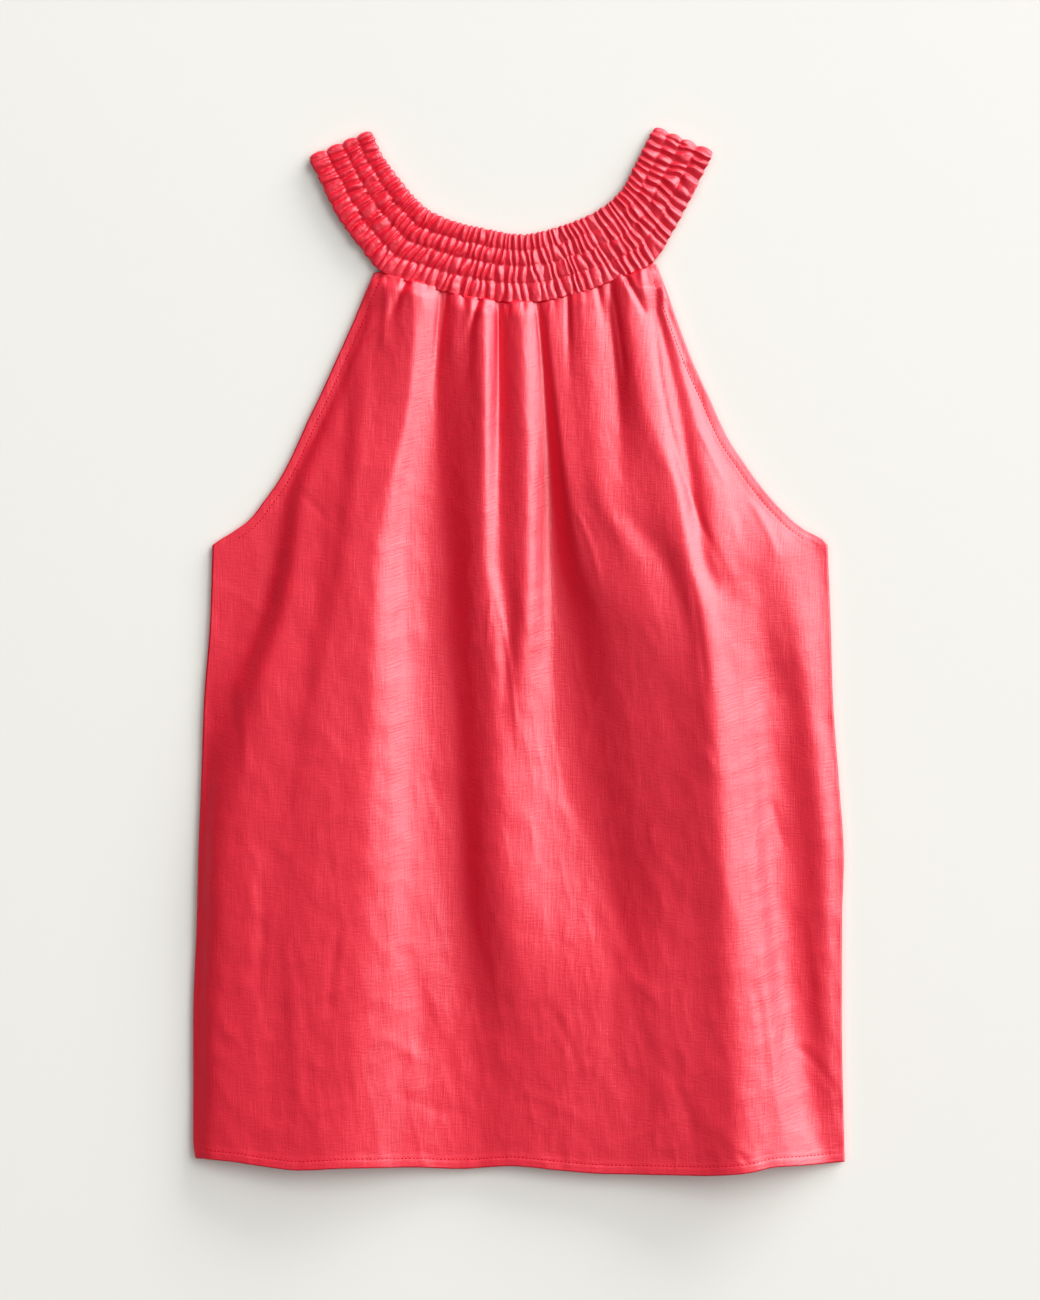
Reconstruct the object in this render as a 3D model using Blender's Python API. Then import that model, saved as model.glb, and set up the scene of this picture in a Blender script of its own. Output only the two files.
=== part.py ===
"""A sleeveless halter top in crinkled linen, laid flat on its back.

Three sewn pieces: a front panel gathered into a smocked neckband, a plain
back panel under it, and the neckband itself, a shirred ring that folds over
at the two shoulder tips.  X runs across the garment, +Y towards the neck and
+Z up from the surface that it lies on.
"""

import math

import bmesh
import bpy

MM = 0.001

# ---- Cloth and seams, in millimetres ---------------------------------------
WALL = 1.5            # front panel, with the air that crinkled linen holds
BACK_WALL = 1.2       # back panel, pressed by what lies on it
BAND_WALL = 1.5       # neckband between the gathers
LAYER_GAP = 0.3       # between one layer and the next
SEAM_GAP = 0.45       # between a panel's top edge and the neckband
HEM_TURN = 7.0        # depth of the turned hem
ARMHOLE_TURN = 6.5    # depth of the turned armhole edge
TURN_RISE = 0.5       # the turned edge is this much thicker
STEP = 1.5            # width of the step at the end of a turning
SEAM_PINCH = 0.55     # share of a fold's height left where it is sewn in
PINCH_DEPTH = 11.0    # distance over which the gathers open below the seam
SIDE_ROLL = 5.0       # width of the rounded side edges

# ---- Outline: half-widths at each level ------------------------------------
ARMPIT_Y = 71.0
#        y      left   right
SIDES = (
    (-349.0, 219.6, 221.6),
    (-333.0, 221.6, 221.2),
    (-250.0, 221.6, 219.6),
    (-184.0, 219.2, 219.8),
    (-143.0, 218.3, 221.0),
    (-89.0, 216.2, 217.6),
    (-34.0, 214.2, 213.6),
    (20.0, 210.1, 212.0),
    (ARMPIT_Y, 208.5, 210.0),
)
#        y      left   right
ARMHOLES = (
    (ARMPIT_Y, 208.5, 210.0),
    (74.5, 203.5, 207.0),
    (81.0, 193.0, 195.0),
    (88.0, 183.6, 185.6),
    (102.0, 172.6, 172.0),
    (115.0, 163.4, 161.4),
    (129.0, 155.7, 151.6),
    (142.0, 149.7, 142.9),
    (156.0, 143.5, 136.0),
    (170.0, 136.6, 129.9),
    (197.0, 124.3, 117.6),
    (224.0, 112.2, 107.4),
    (247.0, 102.8, 99.3),
    (262.0, 96.0, 93.5),
)
#      x       y of the hem's lowest edge
HEM = (
    (-220.0, -345.5),
    (-196.0, -347.2),
    (-175.0, -350.0),
    (-149.0, -352.6),
    (-118.0, -351.2),
    (-73.0, -351.4),
    (-40.0, -352.9),
    (-5.0, -350.8),
    (31.0, -353.9),
    (60.0, -355.8),
    (120.0, -356.1),
    (153.0, -353.9),
    (176.0, -350.2),
    (200.0, -349.9),
    (222.0, -348.4),
)
BACK_HEM = ((-220.0, -346.6), (-150.0, -349.0), (0.0, -348.5), (120.0, -351.0), (222.0, -346.4))
LEFT_CORNER_Y = 253.5     # where the left armhole meets the neckband
RIGHT_CORNER_Y = 262.0

# ---- Neckband: stations from the left shoulder tip to the right ------------
#      inner x  inner y  outer x  outer y  gather pitch
BAND = (
    (-99.6, 350.3, -141.7, 332.6, 8.0),
    (-93.8, 336.9, -134.0, 317.2, 7.8),
    (-84.3, 323.3, -123.8, 296.1, 7.4),
    (-73.4, 309.7, -110.8, 277.8, 6.8),
    (-61.9, 298.9, -93.2, 257.4, 6.0),
    (-43.5, 290.7, -67.3, 248.5, 5.3),
    (-19.7, 285.3, -33.3, 239.7, 5.1),
    (2.0, 281.9, 5.4, 236.3, 5.0),
    (25.2, 286.6, 41.5, 243.1, 5.1),
    (46.9, 294.8, 71.4, 254.7, 5.3),
    (61.2, 303.6, 90.4, 263.5, 5.9),
    (71.4, 314.5, 104.0, 283.9, 6.6),
    (77.5, 326.1, 113.6, 301.6, 7.2),
    (84.3, 339.7, 124.5, 323.3, 7.8),
    (91.3, 353.1, 130.9, 336.0, 8.0),
)
BAND_CORNERS = (4, 10)    # stations where the armholes meet the band
SMOCK_ROWS = 4            # puffed rows between the lines of elastic
ROW_POINTS = 2            # points across one row
GATHER_POINTS = 3         # points along one gather
GATHER_RISE = 2.9         # height of a gather in the middle of its row
ROW_RISE = 0.5            # height of the row itself between the gathers
STITCHED_RISE = 0.22      # share of the height left at a line of elastic
PLAIN_EVERY = 6           # the plain faces take one station in this many
FOLD_OUT = 1.7            # how far the folded tips stand out
FOLD_PUFF = 1.4           # more in the middle of each row
FOLD_TURNS = (50.0, 15.0, -20.0, -55.0)    # degrees round the fold

# ---- Folds of the front panel ----------------------------------------------
# Each fold line runs from the neckband to the hem.  Its x and its height are
# given at the nine levels below; ridges and hollows alternate, and the heights
# over the resting cloth are drawn up by FOLD_SCALE.
FOLD_SCALE = 1.45
LEVELS = (231.0, 170.0, 102.0, 61.0, 20.0, -34.0, -143.0, -252.0, -351.0)
FOLDS = {
    "side_foot": ((-107, -129, -160, -168, -177, -191, -209, -214, -216),
                  (3.1, 3.1, 3.3, 3.6, 4.2, 4.8, 5.6, 5.6, 5.2)),
    "side_ridge": ((-103, -124, -148, -152, -160, -176, -194, -202, -207),
                   (3.8, 4.2, 6.0, 6.8, 7.6, 8.6, 9.6, 9.2, 8.2)),
    "side_flat": ((-99, -119, -133, -136, -140, -148, -161, -165, -169),
                  (4.8, 5.2, 6.6, 7.2, 8.0, 9.0, 9.9, 9.2, 7.8)),
    "left_crest": ((-90, -106, -115, -119, -126, -135, -145, -148, -152),
                   (5.8, 7.2, 8.6, 9.8, 10.1, 10.5, 10.8, 10.0, 8.6)),
    "left_shoulder": ((-77, -80, -93, -98, -101, -104, -108, -115, -125),
                      (8.2, 9.0, 9.7, 10.2, 10.6, 10.8, 10.8, 9.8, 8.4)),
    "left_slope": ((-68, -71, -77, -76, -71, -72, -72, -75, -80),
                   (6.6, 7.0, 6.6, 6.2, 5.0, 5.2, 5.4, 5.8, 6.0)),
    "left_hollow": ((-56, -59, -59, -57, -52, -47, -40, -33, -30),
                    (3.0, 3.0, 3.0, 3.0, 3.0, 3.0, 3.4, 4.4, 5.0)),
    "centre_flank": ((-37, -33, -32, -30, -28, -26, -23, -12, 2),
                     (5.8, 7.4, 7.6, 7.6, 7.2, 6.6, 6.8, 5.4, 5.4)),
    "centre_ridge": ((-25, -24, -24, -24, -19, -13, -12, 8, 28),
                     (8.6, 9.4, 9.2, 8.8, 8.2, 7.6, 7.8, 6.4, 5.8)),
    "centre_crease": ((-14, -14, -14, -13, -7, -4, 4, 20, 41),
                      (3.4, 4.4, 5.8, 6.2, 6.2, 6.8, 7.0, 6.6, 6.0)),
    "centre_small": ((1, 3, 5, 5, 4, 2, 22, 38, 58),
                     (7.2, 7.8, 8.0, 8.0, 8.0, 7.6, 5.2, 6.7, 6.2)),
    "deep_hollow": ((13, 18, 22, 23, 25, 31, 50, 72, 85),
                    (3.0, 3.0, 3.0, 3.0, 3.0, 3.0, 3.2, 6.6, 6.6)),
    "right_small": ((20, 26, 38, 48, 60, 70, 82, 98, 105),
                    (6.4, 7.4, 9.0, 8.8, 8.4, 7.4, 6.2, 7.8, 7.2)),
    "right_crease": ((31, 36, 46, 62, 75, 88, 100, 112, 122),
                     (4.4, 6.8, 9.6, 10.0, 10.4, 9.4, 8.4, 8.8, 8.2)),
    "right_fold": ((44, 49, 56, 80, 94, 106, 114, 127, 133),
                   (6.8, 8.4, 10.8, 11.2, 11.8, 11.0, 10.2, 10.2, 9.2)),
    "right_hollow": ((62, 68, 71, 96, 111, 119, 126, 137, 142),
                     (3.4, 5.8, 9.8, 10.6, 12.0, 12.8, 12.4, 12.2, 11.2)),
    "great_ridge": ((75, 84, 107, 114, 123, 129, 136, 145, 149),
                    (8.0, 10.4, 12.0, 13.4, 14.2, 14.4, 14.6, 14.2, 13.2)),
    "great_foot": ((94, 108, 119, 127, 140, 149, 157, 167, 172),
                   (3.6, 5.6, 7.4, 9.4, 10.2, 9.6, 8.2, 7.6, 8.0)),
    "outer_ridge": ((98, 115, 127, 134, 157, 166, 174, 181, 194),
                    (4.4, 5.8, 8.6, 10.2, 7.0, 5.2, 4.4, 4.2, 4.6)),
    "outer_hollow": ((101, 124, 150, 158, 169, 179, 187, 195, 208),
                     (3.2, 3.6, 5.2, 6.8, 6.2, 3.8, 3.2, 3.0, 3.2)),
    "armpit_ridge": ((103, 126, 160, 182, 186, 193, 210, 210, 217),
                     (3.4, 3.4, 4.0, 5.0, 5.8, 4.8, 5.4, 4.8, 3.2)),
}
#        y      half-width over which a crest is rounded
SOFTNESS = ((-351.0, 7.5), (-143.0, 6.5), (61.0, 4.5), (170.0, 3.2), (262.0, 2.4))
#        y      height of the air between the layers, away from the hollows
LIFT = ((-356.0, 3.4), (-143.0, 3.2), (20.0, 2.6), (71.0, 1.8), (150.0, 0.8), (262.0, 0.0))

# ---- Meshes ----------------------------------------------------------------
FRONT_COLUMNS = 62        # between the turned edges
BACK_COLUMNS = 8
BODY_ROWS = 21            # hem to armpit
#           share of the way from the armpit to the neckband, for each row
YOKE_ROWS = (0.018, 0.05, 0.09, 0.15, 0.22, 0.3, 0.38, 0.46, 0.54, 0.62,
             0.7, 0.78, 0.85, 0.91, 0.955, 1.0)
CROWDING = ((-356.0, 0.86), (-143.0, 0.72), (71.0, 0.6), (262.0, 1.0))

LINEN = (0.73, 0.055, 0.08, 1.0)


def monotone(xs, ys, x):
    """Smooth curve through the points with no overshoot between them."""
    if x <= xs[0]:
        return ys[0]
    if x >= xs[-1]:
        return ys[-1]
    i = 0
    while x > xs[i + 1]:
        i += 1
    width = xs[i + 1] - xs[i]
    rise = (ys[i + 1] - ys[i]) / width
    slopes = []
    for j in (i, i + 1):
        if j == 0 or j == len(xs) - 1:
            slopes.append(rise if j == i or j == i + 1 else 0.0)
            continue
        before = (ys[j] - ys[j - 1]) / (xs[j] - xs[j - 1])
        after = (ys[j + 1] - ys[j]) / (xs[j + 1] - xs[j])
        if before * after <= 0.0:
            slopes.append(0.0)
        else:
            slopes.append(2.0 * before * after / (before + after))
    t = (x - xs[i]) / width
    return ((2 * t ** 3 - 3 * t ** 2 + 1) * ys[i]
            + (t ** 3 - 2 * t ** 2 + t) * width * slopes[0]
            + (3 * t ** 2 - 2 * t ** 3) * ys[i + 1]
            + (t ** 3 - t ** 2) * width * slopes[1])


def column(table, index):
    """One named column of a table of rows."""
    return [row[index] for row in table]


def straight(xs, ys, x):
    """Straight lines through the points, level beyond both ends."""
    for k in range(1, len(xs)):
        if x < xs[k]:
            share = max(x - xs[k - 1], 0.0) / (xs[k] - xs[k - 1])
            return ys[k - 1] + (ys[k] - ys[k - 1]) * share
    return ys[-1]


def smooth(edge0, edge1, value):
    """0 below the first edge, 1 above the second, smooth between."""
    t = min(max((value - edge0) / (edge1 - edge0), 0.0), 1.0)
    return t * t * (3.0 - 2.0 * t)


# ---- The neckband's plan ---------------------------------------------------

def band_point(station, across):
    """Plan position at a station along the band, 0 at the neck edge, 1 at the seam."""
    last = len(BAND) - 1
    i = min(max(int(math.floor(station)), 0), last - 1)
    t = station - i
    rows = [BAND[min(max(i + k, 0), last)] for k in (-1, 0, 1, 2)]
    if i == 0:
        rows[0] = tuple(2 * a - b for a, b in zip(BAND[0], BAND[1]))
    if i == last - 1:
        rows[3] = tuple(2 * a - b for a, b in zip(BAND[last], BAND[last - 1]))
    value = []
    for axis in range(4):
        a, b, c, d = (row[axis] for row in rows)
        value.append(0.5 * (2 * b + (c - a) * t + (2 * a - 5 * b + 4 * c - d) * t * t
                            + (3 * b - a - 3 * c + d) * t ** 3))
    x = value[0] + (value[2] - value[0]) * across
    y = value[1] + (value[3] - value[1]) * across
    return x, y


def gather_stations():
    """Stations along the band, GATHER_POINTS to each gather, from tip to tip."""
    fine = 40
    length = [0.0]
    stations = [0.0]
    for k in range(1, fine * (len(BAND) - 1) + 1):
        s = k / fine
        ax, ay = band_point(s - 1 / fine, 0.5)
        bx, by = band_point(s, 0.5)
        pitch = monotone(list(range(len(BAND))), column(BAND, 4), s)
        length.append(length[-1] + math.hypot(bx - ax, by - ay) / pitch)
        stations.append(s)
    gathers = round(length[-1])
    scale = length[-1] / gathers
    found = []
    for k in range(gathers * GATHER_POINTS + 1):
        whole, part = divmod(k, GATHER_POINTS)
        wander = 0.16 * math.sin(2.3 * whole) + 0.1 * math.sin(5.1 * whole + 1.0)
        if whole in (0, gathers):
            wander = 0.0
        place = (whole + part / GATHER_POINTS + wander * (1 if part == 0 else 0.5)) * scale
        found.append(monotone(length, stations, place))
    return found


def seam_y(x):
    """Level of the neckband's seam edge above a point of the panel's top edge."""
    low, high = BAND_CORNERS
    for _ in range(40):
        middle = 0.5 * (low + high)
        if band_point(middle, 1.0)[0] < x:
            low = middle
        else:
            high = middle
    return band_point(low, 1.0)[1]


# ---- The panels' plan ------------------------------------------------------

def half_width(y, side):
    """Distance from the middle to the side at a level; side is -1 or 1."""
    table = SIDES if y <= ARMPIT_Y else ARMHOLES
    return monotone(column(table, 0), column(table, 1 if side < 0 else 2), y)


def top_y(x):
    """Upper edge of a panel: just under the band, dipping at the two corners."""
    left = band_point(BAND_CORNERS[0], 1.0)[0]
    right = band_point(BAND_CORNERS[1], 1.0)[0]
    y = seam_y(min(max(x, left + 0.5), right - 0.5)) - SEAM_GAP
    if x < left + 0.5:
        y += (LEFT_CORNER_Y - y) * smooth(0.0, 7.0, left + 0.5 - x)
    if x > right - 0.5:
        y += (RIGHT_CORNER_Y - y) * smooth(0.0, 3.0, x - right + 0.5)
    return y


def hem_y(x, table=HEM):
    """Lower edge of a panel."""
    return monotone(column(table, 0), column(table, 1), x)


def plan_x(place, y):
    """x of a column: place runs -1 to 1 between the turnings, then to the edge."""
    side = -1 if place < 0 else 1
    edge = half_width(y, side)
    inner = edge - ARMHOLE_TURN - STEP
    share = min(abs(place), 1.0)
    crowding = monotone(column(CROWDING, 0), column(CROWDING, 1), y)
    x = inner * (crowding * share + (1.0 - crowding) * share ** 3)
    beyond = abs(place) - 1.0
    if beyond > 0.0:
        x = inner + (edge - inner) * beyond
    return side * x


def plan_point(place, level, hem=HEM):
    """Plan position: level 0 is the hem, 1 the armpits and 2 the neckband."""
    x = plan_x(place, -340.0 if level < 1 else 200.0)
    y = 0.0
    for _ in range(8):
        if level <= 1.0:
            low = hem_y(x, hem)
            y = low + (ARMPIT_Y - low) * level
        else:
            y = ARMPIT_Y + (top_y(x) - ARMPIT_Y) * (level - 1.0)
        x = plan_x(place, y)
    return x, y


def columns(count):
    """Column places: the free edge, the end of its turning, then the cloth."""
    turn = 1.0 + STEP / (ARMHOLE_TURN + STEP)
    inner = [2.0 * k / count - 1.0 for k in range(count + 1)]
    return [-2.0, -turn] + inner + [turn, 2.0]


def body_levels(count):
    """Row levels from the hem, with its turning, up to the armpits."""
    depth = ARMPIT_Y - HEM[6][1]
    turn = HEM_TURN / depth
    step = (HEM_TURN + STEP) / depth
    return [0.0, turn, step] + [step + (1.0 - step) * (k + 1) / count for k in range(count)]


# ---- The front panel's folds -----------------------------------------------

def fold_height(x, y):
    """Height of the front cloth's upper face, before the turnings."""
    edge = BACK_WALL + LAYER_GAP + WALL
    left = -half_width(y, -1)
    right = half_width(y, 1)
    levels = [-level for level in LEVELS]
    xs = [left]
    zs = [edge]
    for line, heights in FOLDS.values():
        at = monotone(levels, line, -y)
        if at - xs[-1] > 1.5 and right - at > 1.5:
            xs.append(at)
            zs.append(monotone(levels, heights, -y))
    xs.append(right)
    zs.append(edge)
    reach = monotone(column(SOFTNESS, 0), column(SOFTNESS, 1), y)
    height = 0.0
    weights = 0.0
    for k in range(-4, 5):
        weight = math.exp(-0.9 * (0.4 * k) ** 2)
        height += weight * straight(xs, zs, x + 0.4 * k * reach)
        weights += weight
    return height / weights


def front_height(x, y):
    """Upper face of the front panel, with the gathers drawn in at the seam."""
    edge = BACK_WALL + LAYER_GAP + WALL
    below = top_y(x) - y
    open_share = SEAM_PINCH + (1.0 - SEAM_PINCH) * smooth(0.0, PINCH_DEPTH, below)
    height = edge + (fold_height(x, y) - edge) * open_share * FOLD_SCALE
    from_side = min(x + half_width(y, -1), half_width(y, 1) - x)
    roll = 1.0 - math.exp(-(max(from_side, 0.0) / SIDE_ROLL) ** 2)
    lift = monotone(column(LIFT, 0), column(LIFT, 1), y)
    return max(edge, height + lift * roll * smooth(edge, edge + 8.0, height))


# ---- Building --------------------------------------------------------------

def linen(name):
    """One linen material."""
    material = bpy.data.materials.new(name)
    material.use_nodes = True
    shader = material.node_tree.nodes["Principled BSDF"]
    shader.inputs["Base Color"].default_value = LINEN
    shader.inputs["Roughness"].default_value = 0.85
    shader.inputs["Metallic"].default_value = 0.0
    material.diffuse_color = LINEN
    return material


def finish(bm, name):
    """Turn the mesh into an object, facing out and shaded smooth."""
    bmesh.ops.recalc_face_normals(bm, faces=bm.faces)
    for vert in bm.verts:
        vert.co *= MM
    mesh = bpy.data.meshes.new(name)
    bm.to_mesh(mesh)
    bm.free()
    mesh.shade_smooth()
    mesh.set_sharp_from_angle(angle=math.radians(50.0))
    mesh.materials.append(linen(name + "_linen"))
    part = bpy.data.objects.new(name, mesh)
    bpy.context.scene.collection.objects.link(part)
    return part


def zip_lines(bm, a, places_a, b, places_b):
    """Join two lines of points with triangles, stepping on the line that lags."""
    i = 0
    j = 0
    while i < len(a) - 1 or j < len(b) - 1:
        if j == len(b) - 1 or (i < len(a) - 1 and places_a[i + 1] <= places_b[j + 1]):
            bm.faces.new((a[i], a[i + 1], b[j]))
            i += 1
        else:
            bm.faces.new((a[i], b[j + 1], b[j]))
            j += 1


def quads(bm, a, b):
    """Join two lines with the same number of points."""
    for k in range(len(a) - 1):
        bm.faces.new((a[k], a[k + 1], b[k + 1], b[k]))


def front_panel():
    """The front: a grid laid on the plan, raised to the folds and given its wall."""
    places = columns(FRONT_COLUMNS)
    levels = body_levels(BODY_ROWS) + [1.0 + row for row in YOKE_ROWS]
    bm = bmesh.new()
    grid = bmesh.ops.create_grid(bm, x_segments=len(places) - 1,
                                 y_segments=len(levels) - 1, size=1.0)
    verts = sorted(grid["verts"], key=lambda v: (round(v.co.y, 5), round(v.co.x, 5)))
    for k, vert in enumerate(verts):
        row, col = divmod(k, len(places))
        x, y = plan_point(places[col], levels[row])
        in_hem = row < 2
        in_armhole = levels[row] > 1.0 and (col < 2 or col > len(places) - 3)
        rise = TURN_RISE if in_hem or in_armhole else 0.0
        vert.co = (x, y, front_height(x, y) + rise)
    bm.verts.index_update()
    thickness = [WALL] * len(bm.verts)
    for k, vert in enumerate(verts):
        row, col = divmod(k, len(places))
        turned = row < 2 or (levels[row] > 1.0 and (col < 2 or col > len(places) - 3))
        thickness[vert.index] = WALL + (TURN_RISE if turned else 0.0)
    upper = list(bm.verts)
    lower = {}
    result = bmesh.ops.extrude_face_region(bm, geom=list(bm.faces), use_keep_orig=True)
    copies = [item for item in result["geom"] if isinstance(item, bmesh.types.BMVert)]
    nearest = {(round(v.co.x, 4), round(v.co.y, 4)): v for v in upper}
    for vert in copies:
        twin = nearest[(round(vert.co.x, 4), round(vert.co.y, 4))]
        lower[vert] = thickness[twin.index]
    for vert, depth in lower.items():
        vert.co.z -= depth
    return finish(bm, "front_panel")


def back_panel():
    """The back: the same cut, flat, with more points along the seam."""
    coarse = columns(BACK_COLUMNS)
    coarse = [coarse[0]] + coarse[2:-2] + [coarse[-1]]
    fine = columns(FRONT_COLUMNS)
    fine = [fine[0]] + fine[2:-2] + [fine[-1]]
    body = body_levels(BODY_ROWS)
    levels = [body[0]] + body[3:-1:2] + [1.0] + [1.0 + row for row in YOKE_ROWS[:-1]]
    bm = bmesh.new()
    edges = []
    for z in (0.0, BACK_WALL):
        rows = []
        for level in levels:
            spots = [plan_point(place, level, BACK_HEM) for place in coarse]
            rows.append([bm.verts.new((x, y, z)) for x, y in spots])
        top = [plan_point(place, 2.0, BACK_HEM) for place in fine]
        rows.append([bm.verts.new((x, y, z)) for x, y in top])
        for a, b in zip(rows[:-2], rows[1:-1]):
            quads(bm, a, b)
        zip_lines(bm, rows[-2], coarse, rows[-1], fine)
        left = [row[0] for row in rows]
        right = [row[-1] for row in rows]
        edges.append((rows[0], right, rows[-1][::-1], left[::-1]))
    for low, high in zip(*edges):
        quads(bm, low, high)
    return finish(bm, "back_panel")


def smocking_rise(part_of_row, gather_part):
    """Height over the stitched cloth: puffs between the lines, ridges along them."""
    puff = STITCHED_RISE + (1.0 - STITCHED_RISE) * math.sin(math.pi * part_of_row)
    ridge = 0.0 if gather_part == 0 else 1.0
    return puff * (ROW_RISE + GATHER_RISE * ridge)


def neckband():
    """The ring: smocked front half, folds at the tips, plain flat back half."""
    stations = gather_stations()
    count = SMOCK_ROWS * ROW_POINTS
    across = [k / count for k in range(count + 1)]
    floor = BAND_WALL + LAYER_GAP
    bm = bmesh.new()

    smocked = []
    for k, station in enumerate(stations):
        gather, part = divmod(k, GATHER_POINTS)
        line = []
        for share in across:
            row, part_of_row = divmod(share * SMOCK_ROWS, 1.0)
            wander = 0.05 * math.sin(1.9 * gather + 2.4 * row) * math.sin(math.pi * part_of_row)
            if k in (0, len(stations) - 1):
                wander = 0.0
            x, y = band_point(station + wander, share)
            if part and share == 0.0:
                ox, oy = band_point(station, 0.01)
                reach = math.hypot(ox - x, oy - y)
                x -= 0.6 * (ox - x) / reach
                y -= 0.6 * (oy - y) / reach
            rise = smocking_rise(part_of_row, part)
            line.append(bm.verts.new((x, y, floor + BAND_WALL + rise)))
        smocked.append(line)
    for a, b in zip(smocked[:-1], smocked[1:]):
        quads(bm, a, b)

    marks = list(range(0, len(stations) - 3, PLAIN_EVERY)) + [len(stations) - 1]
    plain_at = [stations[k] for k in marks]
    faces = {}
    for name, z in (("under", floor), ("back_top", BAND_WALL), ("back_low", 0.0)):
        inner = []
        outer = []
        for station in plain_at:
            for line, share in ((inner, 0.0), (outer, 1.0)):
                x, y = band_point(station, share)
                line.append(bm.verts.new((x, y, z)))
        faces[name] = (inner, outer)
    for name in ("under", "back_top"):
        quads(bm, *faces[name])
    for side, share in ((0, 0), (1, -1)):
        zip_lines(bm, [line[share] for line in smocked], stations, faces["under"][side], plain_at)
        quads(bm, faces["back_top"][side], faces["back_low"][side])

    low_inner, low_outer = faces["back_low"]
    quads(bm, low_inner[1:-1], low_outer[1:-1])
    for end, first, nearby in ((0, 0, 1), (-1, len(stations) - 1, -2)):
        tip_fold(bm, end, smocked[first], faces, across, nearby)
    return finish(bm, "neckband")


def tip_fold(bm, end, top_line, faces, across, nearby):
    """Close one shoulder tip: the strip turns over from the front half to the back."""
    last = len(BAND) - 1
    here = 0.0 if end == 0 else float(last)
    inside = 0.1 if end == 0 else last - 0.1
    ax, ay = band_point(here, 0.5)
    bx, by = band_point(inside, 0.5)
    reach = math.hypot(ax - bx, ay - by)
    out = ((ax - bx) / reach, (ay - by) / reach)
    middle = BAND_WALL + 0.5 * LAYER_GAP
    lines = [top_line]
    for angle in FOLD_TURNS:
        turn = math.radians(angle)
        line = []
        for share in across:
            part_of_row = (share * SMOCK_ROWS) % 1.0
            reach = FOLD_OUT + FOLD_PUFF * math.sin(math.pi * part_of_row)
            x, y = band_point(here, share)
            x += out[0] * reach * math.cos(turn)
            y += out[1] * reach * math.cos(turn)
            line.append(bm.verts.new((x, y, middle + middle * math.sin(turn))))
        lines.append(line)
    low_inner, low_outer = faces["back_low"]
    bottom = [low_inner[end]]
    for share in across[1:-1]:
        x, y = band_point(here, share)
        bottom.append(bm.verts.new((x, y, 0.0)))
    bottom.append(low_outer[end])
    lines.append(bottom)
    for a, b in zip(lines[:-1], lines[1:]):
        quads(bm, a, b)
    zip_lines(bm, bottom, across, [low_inner[nearby], low_outer[nearby]], [0.0, 1.0])
    under = [faces["under"][side][end] for side in (0, 1)]
    back = [faces["back_top"][side][end] for side in (0, 1)]
    bm.faces.new((under[0], under[1], back[1], back[0]))
    half = len(lines) // 2
    for side, spot in ((0, 0), (1, -1)):
        rim = [line[spot] for line in lines]
        for k in range(half - 1):
            bm.faces.new((under[side], rim[k], rim[k + 1]))
        bm.faces.new((under[side], rim[half - 1], back[side]))
        for k in range(half - 1, len(rim) - 1):
            bm.faces.new((back[side], rim[k], rim[k + 1]))


def centre(parts):
    """Put the origin under the middle of the whole garment, on the surface."""
    corners = [vert.co for part in parts for vert in part.data.vertices]
    low = [min(co[axis] for co in corners) for axis in range(3)]
    high = [max(co[axis] for co in corners) for axis in range(3)]
    for part in parts:
        for vert in part.data.vertices:
            vert.co.x -= 0.5 * (low[0] + high[0])
            vert.co.y -= 0.5 * (low[1] + high[1])
            vert.co.z -= low[2]


for old in list(bpy.data.objects):
    bpy.data.objects.remove(old, do_unlink=True)

garment = [back_panel(), front_panel(), neckband()]
centre(garment)
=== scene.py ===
# %% [markdown]
# # A crinkled linen halter top, laid out flat
# The real garment has three sewn pieces: a front panel gathered into a smocked
# neckband, a plain back panel under it, and the neckband, a shirred ring that
# folds over at the shoulders.  Blender brings what the CAD leaves out: thin
# cloth with its creases, the puffs of the smocking, the stitches and the weave.
# %% Load the shared frame
import math

import bmesh
import bpy
import numpy as np
from mathutils import Matrix, Vector


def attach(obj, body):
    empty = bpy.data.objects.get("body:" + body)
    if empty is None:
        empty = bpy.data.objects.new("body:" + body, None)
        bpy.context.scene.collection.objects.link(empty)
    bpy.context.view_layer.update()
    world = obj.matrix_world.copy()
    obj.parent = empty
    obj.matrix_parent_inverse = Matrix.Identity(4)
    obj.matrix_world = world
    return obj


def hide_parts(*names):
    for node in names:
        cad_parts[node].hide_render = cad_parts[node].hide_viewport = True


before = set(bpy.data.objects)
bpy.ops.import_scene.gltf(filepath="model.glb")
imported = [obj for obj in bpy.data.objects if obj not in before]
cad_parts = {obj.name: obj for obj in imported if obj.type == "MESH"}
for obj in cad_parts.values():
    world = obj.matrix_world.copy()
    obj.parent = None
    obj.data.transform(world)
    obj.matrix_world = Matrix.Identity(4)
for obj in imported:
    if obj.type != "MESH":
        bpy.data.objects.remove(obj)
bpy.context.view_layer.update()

MM = 0.001
print("CAD nodes:", sorted(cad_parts))

# %% [markdown]
# All tables are in millimetres, with x across the garment and y towards the
# neck.  They are measured from the middle of the laid-out top; ROW_SHIFT then
# moves the points to the frame's own origin.
# %% Sizes of the garment
ROW_SHIFT = (0.0, 0.77, 0.0)
WALL = 1.2              # visible thickness of one crinkled layer
BACK_TOP = 1.2          # upper face of the back panel
FRONT_REST = 2.9        # upper face of the front where it lies flat
HEM_TURN = 7.0
ARMHOLE_TURN = 6.5
ARMPIT_Y = 71.0
LEFT_CORNER_Y = 256.2
RIGHT_CORNER_Y = 262.0
SEAM_GAP = 0.2
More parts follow.
